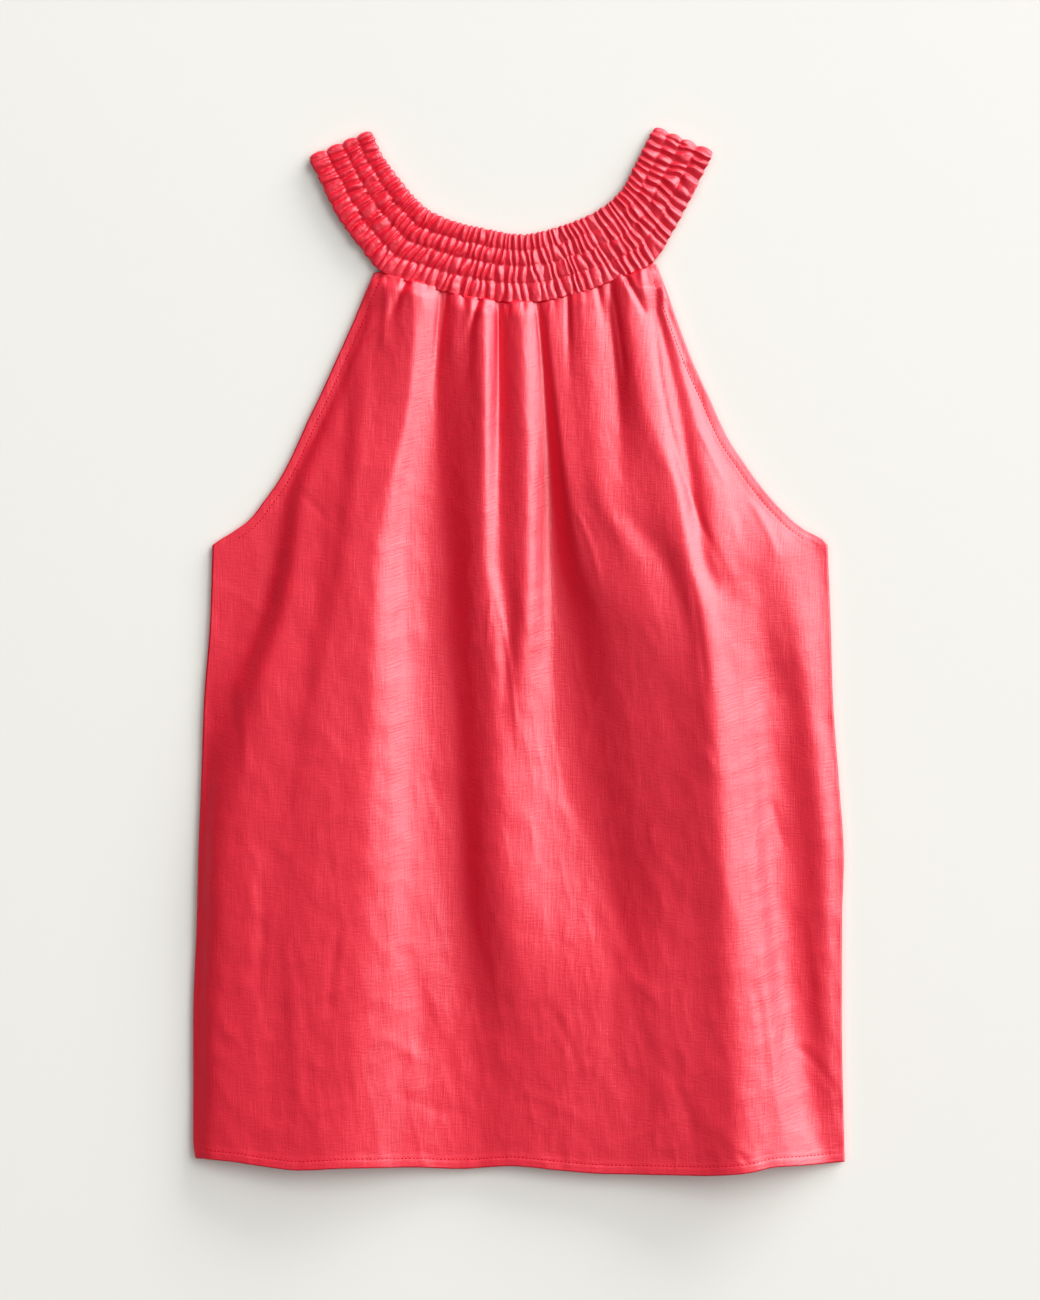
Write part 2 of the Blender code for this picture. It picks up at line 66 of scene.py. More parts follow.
#        y      left   right half-width
SIDES = np.array((
    (-349.0, 219.6, 221.6), (-333.0, 221.6, 221.2), (-250.0, 221.6, 219.6),
    (-184.0, 219.2, 219.8), (-143.0, 218.3, 221.0), (-89.0, 216.2, 217.6),
    (-34.0, 214.2, 213.6), (20.0, 210.1, 212.0), (71.0, 208.5, 210.0)))
ARMHOLES = np.array((
    (71.0, 208.5, 210.0), (74.5, 203.5, 207.0), (81.0, 193.0, 195.0),
    (88.0, 183.6, 185.6), (102.0, 172.6, 172.0), (115.0, 163.4, 161.4),
    (129.0, 155.7, 151.6), (142.0, 149.7, 142.9), (156.0, 143.5, 136.0),
    (170.0, 136.6, 129.9), (197.0, 124.3, 117.6), (224.0, 112.2, 107.4),
    (247.0, 102.8, 99.3), (262.0, 96.0, 93.5)))
#      x       y of the hem's lowest edge
HEM = np.array((
    (-220.0, -345.5), (-196.0, -347.2), (-175.0, -350.0), (-149.0, -352.6),
    (-118.0, -351.2), (-73.0, -351.4), (-40.0, -352.9), (-5.0, -350.8),
    (31.0, -353.9), (60.0, -355.8), (120.0, -356.1), (153.0, -353.9),
    (176.0, -350.2), (200.0, -349.9), (222.0, -348.4)))
BACK_HEM = np.array(((-220.0, -346.6), (-150.0, -349.0), (0.0, -348.5), (120.0, -351.0),
                     (222.0, -346.4)))
#    inner x, inner y, outer x, outer y, gather pitch, from tip to tip
BAND = np.array((
    (-99.6, 350.3, -141.7, 332.6, 6.3), (-93.8, 336.9, -134.0, 317.2, 6.3),
    (-84.3, 323.3, -123.8, 296.1, 6.1), (-73.4, 309.7, -110.8, 277.8, 5.8),
    (-61.9, 298.9, -93.2, 257.4, 5.4), (-43.5, 290.7, -67.3, 248.5, 5.1),
    (-19.7, 285.3, -33.3, 239.7, 5.0), (2.0, 281.9, 5.4, 236.3, 5.0),
    (25.2, 286.6, 41.5, 243.1, 5.0), (46.9, 294.8, 71.4, 254.7, 5.0),
    (61.2, 303.6, 90.4, 263.5, 5.3), (71.4, 314.5, 104.0, 283.9, 5.8),
    (77.5, 326.1, 113.6, 301.6, 6.2), (84.3, 339.7, 124.5, 323.3, 6.4),
    (91.3, 353.1, 130.9, 336.0, 6.4)))
BAND_END = len(BAND) - 1.0
BAND_CORNERS = (4.0, 10.0)      # rows of BAND where its seam starts and ends
print(f"plan {SIDES[:, 1].max() + SIDES[:, 2].max():.0f} mm wide at the hem")

# %% [markdown]
# An edge cut by hand is one long curve, not a chain of straight bits.  A cubic
# through the measured points does that, and the monotone kind never bulges
# past a point, so the numbers in the tables stay true.
# %% Curves through the tables
def cubic(xs, ys, leave, enter, x):
    """Cubic through the points; each has a slope after it and one before it."""
    x = np.clip(x, xs[0], xs[-1])
    i = np.clip(np.searchsorted(xs, x, side="right") - 1, 0, len(xs) - 2)
    width = xs[i + 1] - xs[i]
    t = (x - xs[i]) / width
    return (ys[i] * (1 + 2 * t) * (1 - t) ** 2 + leave[i] * width * t * (1 - t) ** 2
            + ys[i + 1] * t * t * (3 - 2 * t) - enter[i + 1] * width * t * t * (1 - t))


def shared_slope(before, after):
    """Slope at a point between two rises; it is level where they turn round."""
    same = before * after > 0
    return np.where(same, 2 * before * after / np.where(same, before + after, 1.0), 0.0)


def curve(xs, ys, x):
    """Smooth curve through the points, with no overshoot between them."""
    xs, ys = np.asarray(xs, float), np.asarray(ys, float)
    rise = np.diff(ys) / np.diff(xs)
    slope = np.concatenate((rise[:1], shared_slope(rise[:-1], rise[1:]), rise[-1:]))
    return cubic(xs, ys, slope, slope, x)


def smooth(low, high, x):
    """0 below low, 1 above high, smooth between."""
    t = np.clip((x - low) / (high - low), 0.0, 1.0)
    return t * t * (3 - 2 * t)


def half_width(y, left):
    """Distance from the middle to the left or right edge at a level."""
    below, above = (np.where(left, curve(ys, lefts, y), curve(ys, rights, y))
                    for ys, lefts, rights in (SIDES.T, ARMHOLES.T))
    return np.where(np.asarray(y) <= ARMPIT_Y, below, above)


def band_at(station, across):
    """Plan point of the neckband: across is 0 at the neck edge and 1 at the seam."""
    rows = np.vstack((2 * BAND[0] - BAND[1], BAND, 2 * BAND[-1] - BAND[-2]))[:, :4]
    i = np.clip(np.floor(station), 0, len(BAND) - 2).astype(int)
    t = (np.asarray(station) - i)[..., None]
    a, b, c, d = (rows[i + k] for k in range(4))
    value = 0.5 * (2 * b + (c - a) * t + (2 * a - 5 * b + 4 * c - d) * t ** 2
                   + (3 * b - a - 3 * c + d) * t ** 3)
    across = np.asarray(across)[..., None]
    return value[..., :2] + (value[..., 2:] - value[..., :2]) * across


SEAM_POINTS = 400
CORNER_INSET = 0.5
seam = band_at(np.linspace(*BAND_CORNERS, SEAM_POINTS), np.ones(SEAM_POINTS))


def top_y(x):
    """Upper edge of a panel, under the neckband and down at the two corners."""
    left, right = seam[0, 0] + CORNER_INSET, seam[-1, 0] - CORNER_INSET
    y = np.interp(np.clip(x, left, right), seam[:, 0], seam[:, 1]) - SEAM_GAP
    y = y + (LEFT_CORNER_Y - y) * smooth(0.0, 4.0, left - x)
    return y + (RIGHT_CORNER_Y - y) * smooth(0.0, 3.0, x - right)


print(f"seam from y {top_y(seam[0, 0]):.0f} down to {top_y(0.0):.0f} mm")

# %% [markdown]
# The front isn't sewn on in one smooth line.  The gathering draws its threads
# into groups, and each group goes under the scallops of the band a little
# higher or lower than the next.  So the front has an upper edge of its own, a
# short slanted step for each group; the back keeps the plain one.
# %% Upper edge of the front
#    left x, right x, rise of the edge over the seam at each
BLOCKS = ((-97.0, -76.0, 0.3, 1.6), (-75.0, -51.0, 1.6, 2.6), (-49.5, -26.0, 0.2, 1.4),
          (-25.0, -14.5, 1.4, 0.4), (-13.5, -6.5, -0.3, -0.3), (-5.5, 12.0, 1.2, 1.0),
          (13.0, 19.5, -0.4, -0.4), (20.5, 32.5, 1.6, 0.2), (36.5, 52.0, 2.8, 0.4),
          (55.0, 61.0, 0.4, 3.0), (64.0, 72.0, 3.6, 2.0), (75.0, 80.0, -0.5, 0.0),
          (82.0, 90.0, 0.6, 0.3))


def front_top_y(x):
    """Upper edge of the front: the seam lifts each group of threads on its own."""
    ends = [(-99.0, 0.0), (92.0, 0.0)]
    for left, right, left_rise, right_rise in BLOCKS:
        ends[-1:-1] = [(left, left_rise), (right, right_rise)]
    return top_y(x) + np.interp(x, *zip(*ends))


print(f"{len(BLOCKS)} groups of threads along the seam")

# %% [markdown]
# The front panel is gathered at the neck and spreads towards the hem, so its
# folds fan out.  A cloth simulation could drape it, but then nobody decides
# where a fold goes.  Here each fold line is listed: its x and its height
# at nine levels.  A smooth curve joins them across the cloth.  In the yoke it
# arches over each crest and meets its neighbour in a sharp hollow, because the
# gathers press the flanks together there.
# %% Folds of the front, on a map of heights
MAP_STEP = 0.75
MAP_ACROSS = (-226.0, 226.1)
MAP_ALONG = (-360.0, 266.0)
map_x, map_y = np.arange(*MAP_ACROSS, MAP_STEP), np.arange(*MAP_ALONG, MAP_STEP)
LEVELS = np.array((231.0, 170.0, 102.0, 61.0, 20.0, -34.0, -143.0, -252.0, -351.0))
FOLDS = {
    "side_foot": ((-107, -129, -160, -168, -177, -195, -212, -215, -216),
                  (3.1, 3.1, 3.3, 3.6, 4.2, 5.0, 5.8, 5.8, 5.4)),
    "side_ridge": ((-103, -124, -148, -152, -160, -176, -186, -190, -193),
                   (3.8, 4.2, 6.0, 6.8, 7.6, 8.2, 8.2, 7.6, 6.9)),
    "side_flat": ((-99, -119, -133, -136, -140, -148, -161, -165, -169),
                  (4.8, 5.2, 6.6, 7.2, 8.0, 8.9, 9.1, 8.7, 8.0)),
    "left_crest": ((-90, -104, -115, -119, -126, -135, -145, -148, -152),
                   (5.8, 6.4, 8.6, 9.8, 10.1, 10.4, 10.3, 9.8, 9.0)),
    "left_shoulder": ((-71, -76, -91, -98, -101, -104, -108, -115, -125),
                      (8.2, 7.8, 9.5, 10.2, 10.6, 10.9, 11.2, 10.9, 10.2)),
    "left_slope": ((-62, -67, -75, -77, -76, -74, -72, -75, -80),
                   (6.4, 5.4, 5.3, 5.2, 5.0, 5.0, 5.4, 6.2, 6.4)),
    "left_hollow": ((-54, -56, -56, -53, -53, -49, -42, -37, -32),
                    (3.0, 3.0, 3.0, 3.0, 3.0, 3.0, 3.2, 3.8, 4.4)),
    "centre_flank": ((-37, -33, -32, -30, -28, -26, -23, -12, 2),
                     (5.8, 7.4, 7.6, 7.6, 7.2, 6.6, 6.8, 5.4, 5.4)),
    "centre_ridge": ((-25, -24, -24, -24, -19, -16, -12, 8, 28),
                     (8.0, 9.2, 8.7, 8.3, 7.7, 7.5, 7.8, 6.4, 5.8)),
    "centre_crease": ((-14, -14, -14, -13, -7, -8, 4, 20, 41),
                      (3.4, 4.4, 5.8, 6.2, 6.2, 6.9, 7.0, 6.6, 6.0)),
    "centre_small": ((1, 3, 5, 5, 3, -2, 20, 38, 58),
                     (6.7, 7.6, 7.9, 7.9, 7.8, 7.0, 5.4, 6.7, 6.2)),
    "deep_hollow": ((13, 18, 22, 23, 25, 29, 50, 72, 85),
                    (3.0, 3.0, 3.0, 3.0, 3.0, 3.0, 3.4, 7.0, 7.0)),
    "right_small": ((20, 26, 35, 45, 60, 70, 82, 98, 105),
                    (5.0, 6.6, 9.0, 8.8, 8.4, 7.4, 6.6, 8.7, 8.2)),
    "right_crease": ((31, 36, 46, 62, 75, 88, 100, 112, 120),
                     (4.4, 6.8, 9.6, 10.0, 10.4, 9.4, 8.7, 9.8, 9.6)),
    "right_fold": ((44, 49, 56, 80, 94, 106, 114, 127, 132),
                   (5.6, 7.3, 10.7, 11.2, 11.8, 11.2, 10.6, 11.1, 11.4)),
    "right_hollow": ((62, 68, 71, 96, 111, 119, 126, 135, 141),
                     (3.4, 5.8, 9.8, 10.6, 12.0, 12.8, 12.4, 12.1, 13.0)),
    "great_ridge": ((75, 84, 107, 114, 123, 130, 136, 143, 149),
                    (6.6, 9.6, 12.0, 13.6, 14.4, 14.4, 13.6, 12.8, 13.9)),
    "great_foot": ((94, 108, 119, 127, 140, 149, 157, 167, 172),
                   (3.6, 5.6, 7.4, 10.2, 11.0, 9.6, 9.0, 8.8, 10.2)),
    "outer_ridge": ((98, 115, 127, 132, 155, 166, 171, 180, 194),
                    (4.4, 5.8, 8.6, 10.8, 8.2, 5.4, 4.6, 4.8, 6.4)),
    "outer_hollow": ((101, 124, 150, 158, 167, 180, 187, 195, 208),
                     (3.2, 3.6, 5.8, 7.8, 6.8, 4.4, 3.2, 3.0, 4.3)),
    "armpit_ridge": ((103, 126, 160, 180, 185, 195, 208, 210, 217),
                     (3.4, 3.4, 4.5, 6.4, 6.4, 5.4, 5.0, 4.4, 3.4)),
}
#         y     half-width of a rounded crest
SOFTNESS = ((-351.0, 5.5), (-143.0, 4.5), (61.0, 2.8), (170.0, 1.3), (262.0, 0.8))
HOLLOW_SLOPE = 1.5      # how steep a flank is at the foot of a sharp hollow
SHARP_FROM, SHARP_AT = 40.0, 230.0      # levels between which hollows grow sharp
EDGE_HEIGHT = 3.0
EDGE_CLEARANCE = 1.5    # a fold line nearer to the edge is left out there
SPREAD = np.linspace(-1.6, 1.6, 9)      # places averaged to round a crest


def section(xs, zs, x, sharp):
    """Height across one level; sharp is 1 where the hollows are cusps."""
    xs, zs = np.array(xs), np.array(zs)
    rise = np.diff(zs) / np.diff(xs)
    before, after = np.append(rise[0], rise), np.append(rise, rise[-1])
    bend = shared_slope(before, after)
    hollow = (before < 0) & (after > 0)
    enter = np.where(hollow, HOLLOW_SLOPE * sharp * before, bend)
    leave = np.where(hollow, HOLLOW_SLOPE * sharp * after, bend)
    return cubic(xs, zs, leave, enter, x)


left_edge = -half_width(map_y, True)
right_edge = half_width(map_y, False)
lines = [(curve(-LEVELS, x, -map_y), curve(-LEVELS, z, -map_y)) for x, z in FOLDS.values()]
soft = curve(*np.array(SOFTNESS).T, map_y)
height = np.zeros((len(map_y), len(map_x)))
for row in range(len(map_y)):
    low, high = left_edge[row], right_edge[row]
    inside = [(x[row], z[row]) for x, z in lines
              if low + EDGE_CLEARANCE < x[row] < high - EDGE_CLEARANCE]
    xs, zs = zip((low, EDGE_HEIGHT), *inside, (high, EDGE_HEIGHT))
    exact = section(xs, zs, map_x, smooth(SHARP_FROM, SHARP_AT, map_y[row]))
    weights = np.exp(-0.9 * SPREAD * SPREAD)
    for aside, weight in zip(SPREAD, weights):
        height[row] += weight * np.interp(map_x + aside * soft[row], map_x, exact)
    height[row] /= weights.sum()
grid_x, grid_y = np.meshgrid(map_x, map_y)
print(f"{len(FOLDS)} fold lines, from {height.min():.1f} to {height.max():.1f} mm high")

# %% [markdown]
# Where the front is sewn to the band, the folds are pressed flatter and small
# gathers open below the seam.  Each is a narrow valley that starts deep and
# dies out within a few centimetres, all of uneven length.  The folds also ride
# on the air that stays between two layers of cloth, and roll down at the side
# edges and into the seam.
# %% Gathers below the seam
#    x at the seam, x at the end, length, depth, width
GATHERS = (
    (-95.0, -104.0, 30.0, 1.2, 2.6),
    (-76.0, -86.0, 26.0, 3.0, 2.2),
    (-50.5, -58.0, 62.0, 3.2, 2.0),
    (-26.5, -35.0, 30.0, 2.6, 1.9),
    (-13.8, -13.5, 56.0, 2.0, 1.4),
    (12.5, 18.0, 52.0, 2.2, 1.4),
    (33.0, 34.5, 44.0, 2.2, 1.5),
    (53.5, 58.0, 26.0, 1.8, 1.8),
    (71.0, 85.0, 28.0, 1.6, 2.0),
    (-63.0, -64.0, 9.0, 0.6, 1.6),
    (-38.0, -38.5, 10.0, 0.6, 1.5),
    (3.0, 3.5, 10.0, 0.5, 1.3),
    (24.0, 24.5, 12.0, 0.6, 1.3),
    (44.0, 45.0, 9.0, 0.5, 1.5),
    (62.0, 64.0, 14.0, 0.9, 1.6),
)
FOLD_SCALE = 1.45       # how far the folds of the table really stand up
PRESSED = 0.55          # share of that height left at the seam
PRESSED_LENGTH = 11.0
TUCKED = 0.45           # share of a fold's height that goes under the band
SEAM_ROLL = 1.3         # where the folds turn down into the seam
SIDE_ROLL = 9.0         # width of the rounded side edges
FULL_LIFT = 8.0         # the air lifts folds of this height by all of LIFT
#        y      height of the air between the layers
LIFT = ((-356.0, 4.6), (-143.0, 4.2), (20.0, 3.8), (71.0, 3.0), (150.0, 1.6), (262.0, 0.0))
below_seam = np.maximum(front_top_y(grid_x) - grid_y, 0.0)
pressed = PRESSED + (1 - PRESSED) * smooth(0.0, PRESSED_LENGTH, below_seam)
height = FRONT_REST + (height - FRONT_REST) * pressed * FOLD_SCALE
from_side = np.minimum(grid_x - left_edge[:, None], right_edge[:, None] - grid_x)
roll = 1.0 - np.exp(-(np.maximum(from_side, 0.0) / SIDE_ROLL) ** 2)
lift = curve(*np.array(LIFT).T, map_y)[:, None]
height += lift * roll * smooth(FRONT_REST, FRONT_REST + FULL_LIFT, height)
for x0, x1, length, depth, width in GATHERS:
    along = below_seam / length
    line = x0 + (x1 - x0) * along
    fade = np.exp(-1.6 * along ** 1.5)
    height -= depth * fade * np.exp(-((grid_x - line) / (width * (1 + 0.6 * along))) ** 2)
tuck = np.sqrt(1.0 - (1.0 - below_seam / SEAM_ROLL).clip(0.0, 1.0) ** 2)
height = FRONT_REST + (height - FRONT_REST) * (TUCKED + (1 - TUCKED) * tuck)
print(f"{len(GATHERS)} gathers, the longest {max(g[2] for g in GATHERS):.0f} mm")

# %% [markdown]
# Linen keeps every crease it is given.  Noise alone would put creases anywhere,
# so the main ones are laid one by one, each a ridge or a groove with its own
# length, depth and bend.
# %% Single creases
#    x0, y0, x1, y1, bend, width, height
CREASES = (
    (-43.0, 246.0, -46.0, 196.0, 1.0, 4.2, 0.9),
    (-30.0, 238.0, -38.0, 176.0, 1.5, 3.6, -0.6),
    (-89.0, 246.0, -92.0, 204.0, 0.0, 3.6, 0.9),
    (-97.0, 219.0, -122.0, 203.0, 2.0, 1.3, -0.4),
    (83.0, 260.0, 86.0, 238.0, 0.0, 2.4, 0.9),
    (72.0, 255.0, 86.0, 228.0, 0.0, 2.0, -0.9),
    (-15.0, 34.0, -1.5, -69.0, 3.0, 1.5, 0.35),
    (-19.5, 34.0, -22.0, 0.0, 0.0, 1.4, 0.3),
    (63.0, 245.0, 72.0, 183.0, 1.0, 1.8, -0.8),
    (116.0, 47.0, 126.0, -28.0, 1.0, 1.7, -0.7),
    (92.0, 223.0, 142.0, 47.0, -10.0, 2.2, -0.7),
    (126.0, -68.0, 131.0, -82.0, 0.0, 1.6, 0.5),
    (171.0, -102.0, 181.0, -136.0, 0.0, 2.4, -0.5),
    (186.0, 6.0, 191.0, -14.0, 0.0, 2.0, 0.4),
    (55.0, -170.0, 82.0, -238.0, 0.0, 5.0, 0.5),
    (58.0, -205.0, 62.0, -270.0, 3.0, 7.0, -0.5),
    (72.0, -218.0, 98.0, -246.0, 2.0, 4.0, 0.35),
    (18.0, -240.0, 42.0, -292.0, 3.0, 3.0, -0.3),
    (30.0, -236.0, 30.0, -280.0, 3.0, 3.0, 0.22),
    (-70.0, -218.0, -68.0, -272.0, 2.0, 7.0, -0.8),
    (-117.0, 192.0, -129.0, 30.0, 2.0, 6.0, -0.9),
    (-104.0, 186.0, -112.0, 96.0, 0.0, 5.0, 0.5),
    (148.0, -340.0, 154.0, -347.0, 0.0, 1.6, -0.5),
    (-190.0, -20.0, -186.0, -90.0, 2.0, 3.0, 0.5),
    (-176.0, -150.0, -180.0, -240.0, 4.0, 4.0, -0.5),
    (-160.0, -200.0, -150.0, -330.0, 4.0, 5.0, 0.5),
    (-120.0, -180.0, -128.0, -260.0, -3.0, 3.0, -0.35),
    (-96.0, -262.0, -60.0, -286.0, 3.0, 3.6, 0.22),
    (-84.0, -300.0, -30.0, -318.0, -3.0, 4.0, -0.24),
    (-20.0, -200.0, -14.0, -244.0, 2.0, 3.0, 0.3),
    (0.0, -300.0, 46.0, -322.0, 3.0, 4.0, 0.24),
    (96.0, -280.0, 118.0, -330.0, 4.0, 4.0, -0.35),
    (160.0, -230.0, 168.0, -300.0, 2.0, 3.0, -0.5),
    (196.0, -180.0, 205.0, -260.0, 2.0, 3.0, 0.5),
    (190.0, -270.0, 214.0, -300.0, 2.0, 2.6, -0.5),
    (-205.0, 44.0, -170.0, 20.0, 2.0, 2.6, 0.3),
    (-150.0, 108.0, -128.0, 84.0, 1.0, 2.2, -0.3),
    (158.0, 100.0, 176.0, 60.0, 2.0, 2.6, 0.5),
    (122.0, 150.0, 140.0, 112.0, 0.0, 1.8, 0.4),
    (38.0, 96.0, 56.0, 40.0, 2.0, 2.4, 0.4),
)


def add_creases(target, gx, gy, table):
    """Raise or sink the cloth along each bent line of the table."""
    for x0, y0, x1, y1, bend, width, rise in table:
        length = math.hypot(x1 - x0, y1 - y0)
        ux, uy = (x1 - x0) / length, (y1 - y0) / length
        along = ((gx - x0) * ux + (gy - y0) * uy) / length
        aside = (gy - y0) * ux - (gx - x0) * uy - 4 * bend * along * (1 - along)
        taper = smooth(-0.12, 0.18, along) * smooth(-0.12, 0.25, 1 - along)
        target += rise * taper * np.exp(-(aside / width) ** 2)


add_creases(height, grid_x, grid_y, CREASES)
print(f"{len(CREASES)} creases laid by hand")

# %% [markdown]
# Between them the cloth is never quite flat.  Random heights on a coarse
# lattice, blended smoothly, give soft dents; folding the same noise at its
# middle value gives the short sharp crinkles of washed linen.  Each row of the
# table is one such layer, from wide and soft to small, and most of them are
# calmer towards the neck, where the gathers stretch the cloth.
# %% Dents and crinkles
LATTICE = 160           # cells before the random heights repeat
LATTICE_START = 400.0


def dents(x, y, cell_x, cell_y, seed):
    """Smooth random values from 0 to 1 with cells of the given size."""
    lattice = np.random.default_rng(seed).random((LATTICE, LATTICE))
    i, j = (x + LATTICE_START) / cell_x, (y + LATTICE_START) / cell_y
    i0, j0 = np.floor(i).astype(int), np.floor(j).astype(int)
    s, t = i - i0, j - j0
    s, t = s * s * (3 - 2 * s), t * t * (3 - 2 * t)
    corner = [lattice[(j0 + b) % LATTICE, (i0 + a) % LATTICE] for b in (0, 1) for a in (0, 1)]
    return ((corner[0] * (1 - s) + corner[1] * s) * (1 - t)
            + (corner[2] * (1 - s) + corner[3] * s) * t)


def crinkles(x, y, cell_x, cell_y, seed):
    """Narrow ridges where the random values cross their middle."""
    folded = 1.0 - np.abs(2.0 * dents(x, y, cell_x, cell_y, seed) - 1.0)
    return folded ** 3


#    noise, its middle, height, slant of x and of y, cell x, cell y, seed
RELIEF = (
    (dents, 0.5, 0.9, 0.0, 0.0, 26.0, 60.0, 11),
    (dents, 0.5, 0.42, 0.3, 0.0, 12.0, 17.0, 12),
    (crinkles, 0.3, 0.26, 0.0, -0.4, 21.0, 15.0, 13),
    (crinkles, 0.3, 0.20, 0.2, 0.0, 9.0, 30.0, 14),
    (dents, 0.5, 0.16, -0.2, 0.0, 6.0, 8.0, 16),
)
CALMEST = 0.45          # share of the relief left at the neck
GRAIN = 0.12
PUCKER = 1.1
PUCKER_LENGTH = 16.0
calm = CALMEST + (1 - CALMEST) * smooth(240.0, -120.0, grid_y)
for noise, mean, rise, slant_x, slant_y, cell_x, cell_y, seed in RELIEF:
    slanted = (grid_x + slant_x * grid_y, grid_y + slant_y * grid_x)
    height += calm * rise * (noise(*slanted, cell_x, cell_y, seed) - mean)
height += GRAIN * (dents(grid_x, grid_y, 3.2, 7.0, 15) - 0.5)
puckers = np.exp(-below_seam / PUCKER_LENGTH) * smooth(0.0, 3.0, below_seam) * (grid_y > ARMPIT_Y)
height += PUCKER * puckers * (dents(grid_x, grid_y, 3.6, 22.0, 17) - 0.5)
print(f"map now from {height.min():.1f} to {height.max():.1f} mm")

# %% [markdown]
# Hem and armholes are turned under and stitched, so the edge is thicker and
# the row of stitches pulls a shallow groove.  Distance from the edge decides
# both.  The last step keeps the cloth off the layer below: a soft floor, which
# bends a low place up instead of cutting it off flat.
# %% Turned edges
TURN_RISE = 0.45
GROOVE = 0.40
GROOVE_WIDTH = 0.9
STITCH_INSET = 0.8      # the stitches run this far inside the turned edge
FLOOR_SHARPNESS = 3.0
armhole_y = np.linspace(ARMPIT_Y, 262.0, 90)
armhole_lines = (np.stack((-half_width(armhole_y, True), armhole_y), 1),
                 np.stack((half_width(armhole_y, False), armhole_y), 1))


def distance_to(line, x, y):
    """Distance from every point to a chain of points."""
    nearest = np.full(np.shape(x), np.inf)
    for (ax, ay), (bx, by) in zip(line[:-1], line[1:]):
        length = math.hypot(bx - ax, by - ay)
        ux, uy = (bx - ax) / length, (by - ay) / length
        along = np.clip((x - ax) * ux + (y - ay) * uy, 0.0, length)
        nearest = np.minimum(nearest, np.hypot(x - ax - along * ux, y - ay - along * uy))
    return nearest


def turning(depth, from_edge):
    """Rise of a turned edge, with the groove of its stitches."""
    rise = TURN_RISE * (1.0 - smooth(depth, depth + 1.6, from_edge))
    return rise - GROOVE * np.exp(-((from_edge - depth + STITCH_INSET) / GROOVE_WIDTH) ** 2)


height += turning(HEM_TURN, grid_y - curve(*HEM.T, grid_x))
yoke = map_y > ARMPIT_Y - 8.0
for line in armhole_lines:
    from_edge = distance_to(line, grid_x[yoke], grid_y[yoke])
    height[yoke] += turning(ARMHOLE_TURN, from_edge)
over_floor = np.logaddexp(0.0, (height - FRONT_REST) * FLOOR_SHARPNESS) / FLOOR_SHARPNESS
height = FRONT_REST + over_floor - 0.2


def height_at(x, y):
    """Height of the front's upper face at any plan point."""
    i = np.clip((x - map_x[0]) / MAP_STEP, 0, len(map_x) - 1.001)
    j = np.clip((y - map_y[0]) / MAP_STEP, 0, len(map_y) - 1.001)
    i0, j0 = i.astype(int), j.astype(int)
    s, t = i - i0, j - j0
    return ((height[j0, i0] * (1 - s) + height[j0, i0 + 1] * s) * (1 - t)
            + (height[j0 + 1, i0] * (1 - s) + height[j0 + 1, i0 + 1] * s) * t)


print(f"front cloth between {height.min():.1f} and {height.max():.1f} mm")

# %% [markdown]
# Each panel is a flat grid first.  Its points are spread over the plan like
# the threads of the cloth: evenly at the hem, drawn together at the neck, and
# closer near turned edges.  The grid's own x and y, from -1 to 1, tell each
# point which thread it is on.
# %% Where the threads of a panel run
EDGE_STRIP = 9.0        # mm along the edge that have threads of their own
EDGE_SHARE = 0.05       # share of the threads in that strip
PLAN_PASSES = 8         # x depends on y and y on x, so both are improved in turn
#                     y      1: even threads, less: closer in the middle
CROWDING = np.array(((-356.0, 0.86), (-143.0, 0.72), (71.0, 0.6), (262.0, 1.0)))
#             grid row   level: 0 hem, 1 armpits, 2 neckband
PANEL_ROWS = np.array(((-1.0, 0.0), (-0.94, 0.021), (0.1, 1.0), (0.19, 1.07), (0.7, 1.7),
                       (0.88, 1.9), (1.0, 2.0)))


def plan_x(s, y):
    """x of a thread at a level of the garment."""
    edge = half_width(y, s < 0)
    q = np.minimum(np.abs(s) / (1 - EDGE_SHARE), 1.0)
    crowd = curve(*CROWDING.T, y)
    x = (edge - EDGE_STRIP) * (crowd * q + (1 - crowd) * q ** 3)
    x = x + EDGE_STRIP * np.maximum(np.abs(s) - 1 + EDGE_SHARE, 0.0) / EDGE_SHARE
    return np.where(s < 0, -x, x)


def plan(s, t, hem, top=top_y):
    """Plan point of a grid point; s runs along a row and t up the panel."""
    level = curve(*PANEL_ROWS.T, t)
    x = plan_x(s, np.where(level < 1, -340.0, 200.0))
    for _ in range(PLAN_PASSES):
        low = curve(*hem.T, x)
        body = low + (ARMPIT_Y - low) * np.minimum(level, 1.0)
        y = np.where(level <= 1, body, ARMPIT_Y + (top(x) - ARMPIT_Y) * (level - 1))
        x = plan_x(s, y)
    return x, y


levels = (-350.0, ARMPIT_Y, 230.0)
print("a thread half-way out is at x", [f"{plan_x(np.array(0.5), y):.0f}" for y in levels])

# %% [markdown]
# A Solidify modifier would give the cloth its thickness, but it also doubles
# every small triangle on a side that nobody sees.  So the fine upper grid gets
# a rim with Extrude, and Bridge joins the rim to a coarse grid below.
# %% Helpers that build a cloth
SLOPE_SHARE = 0.6       # how much a slope draws the weave out, in the UV map


def grid_points(name, bm, columns, rows):
    """Add a square grid and remember each point's place in two layers."""
    layers = bm.verts.layers.float
    for key in "st":
        if key not in layers.keys():
            layers.new(key)
    s_layer, t_layer = layers["s"], layers["t"]
    made = bmesh.ops.create_grid(bm, x_segments=columns, y_segments=rows, size=1.0)["verts"]
    for vert in made:
        vert[s_layer], vert[t_layer] = vert.co.x, vert.co.y
    print(f"{name}: grid of {columns} by {rows}")
    return made


def places(verts, bm):
    """The two remembered coordinates of the points, as arrays."""
    s_layer, t_layer = bm.verts.layers.float["s"], bm.verts.layers.float["t"]
    return np.array([v[s_layer] for v in verts]), np.array([v[t_layer] for v in verts])


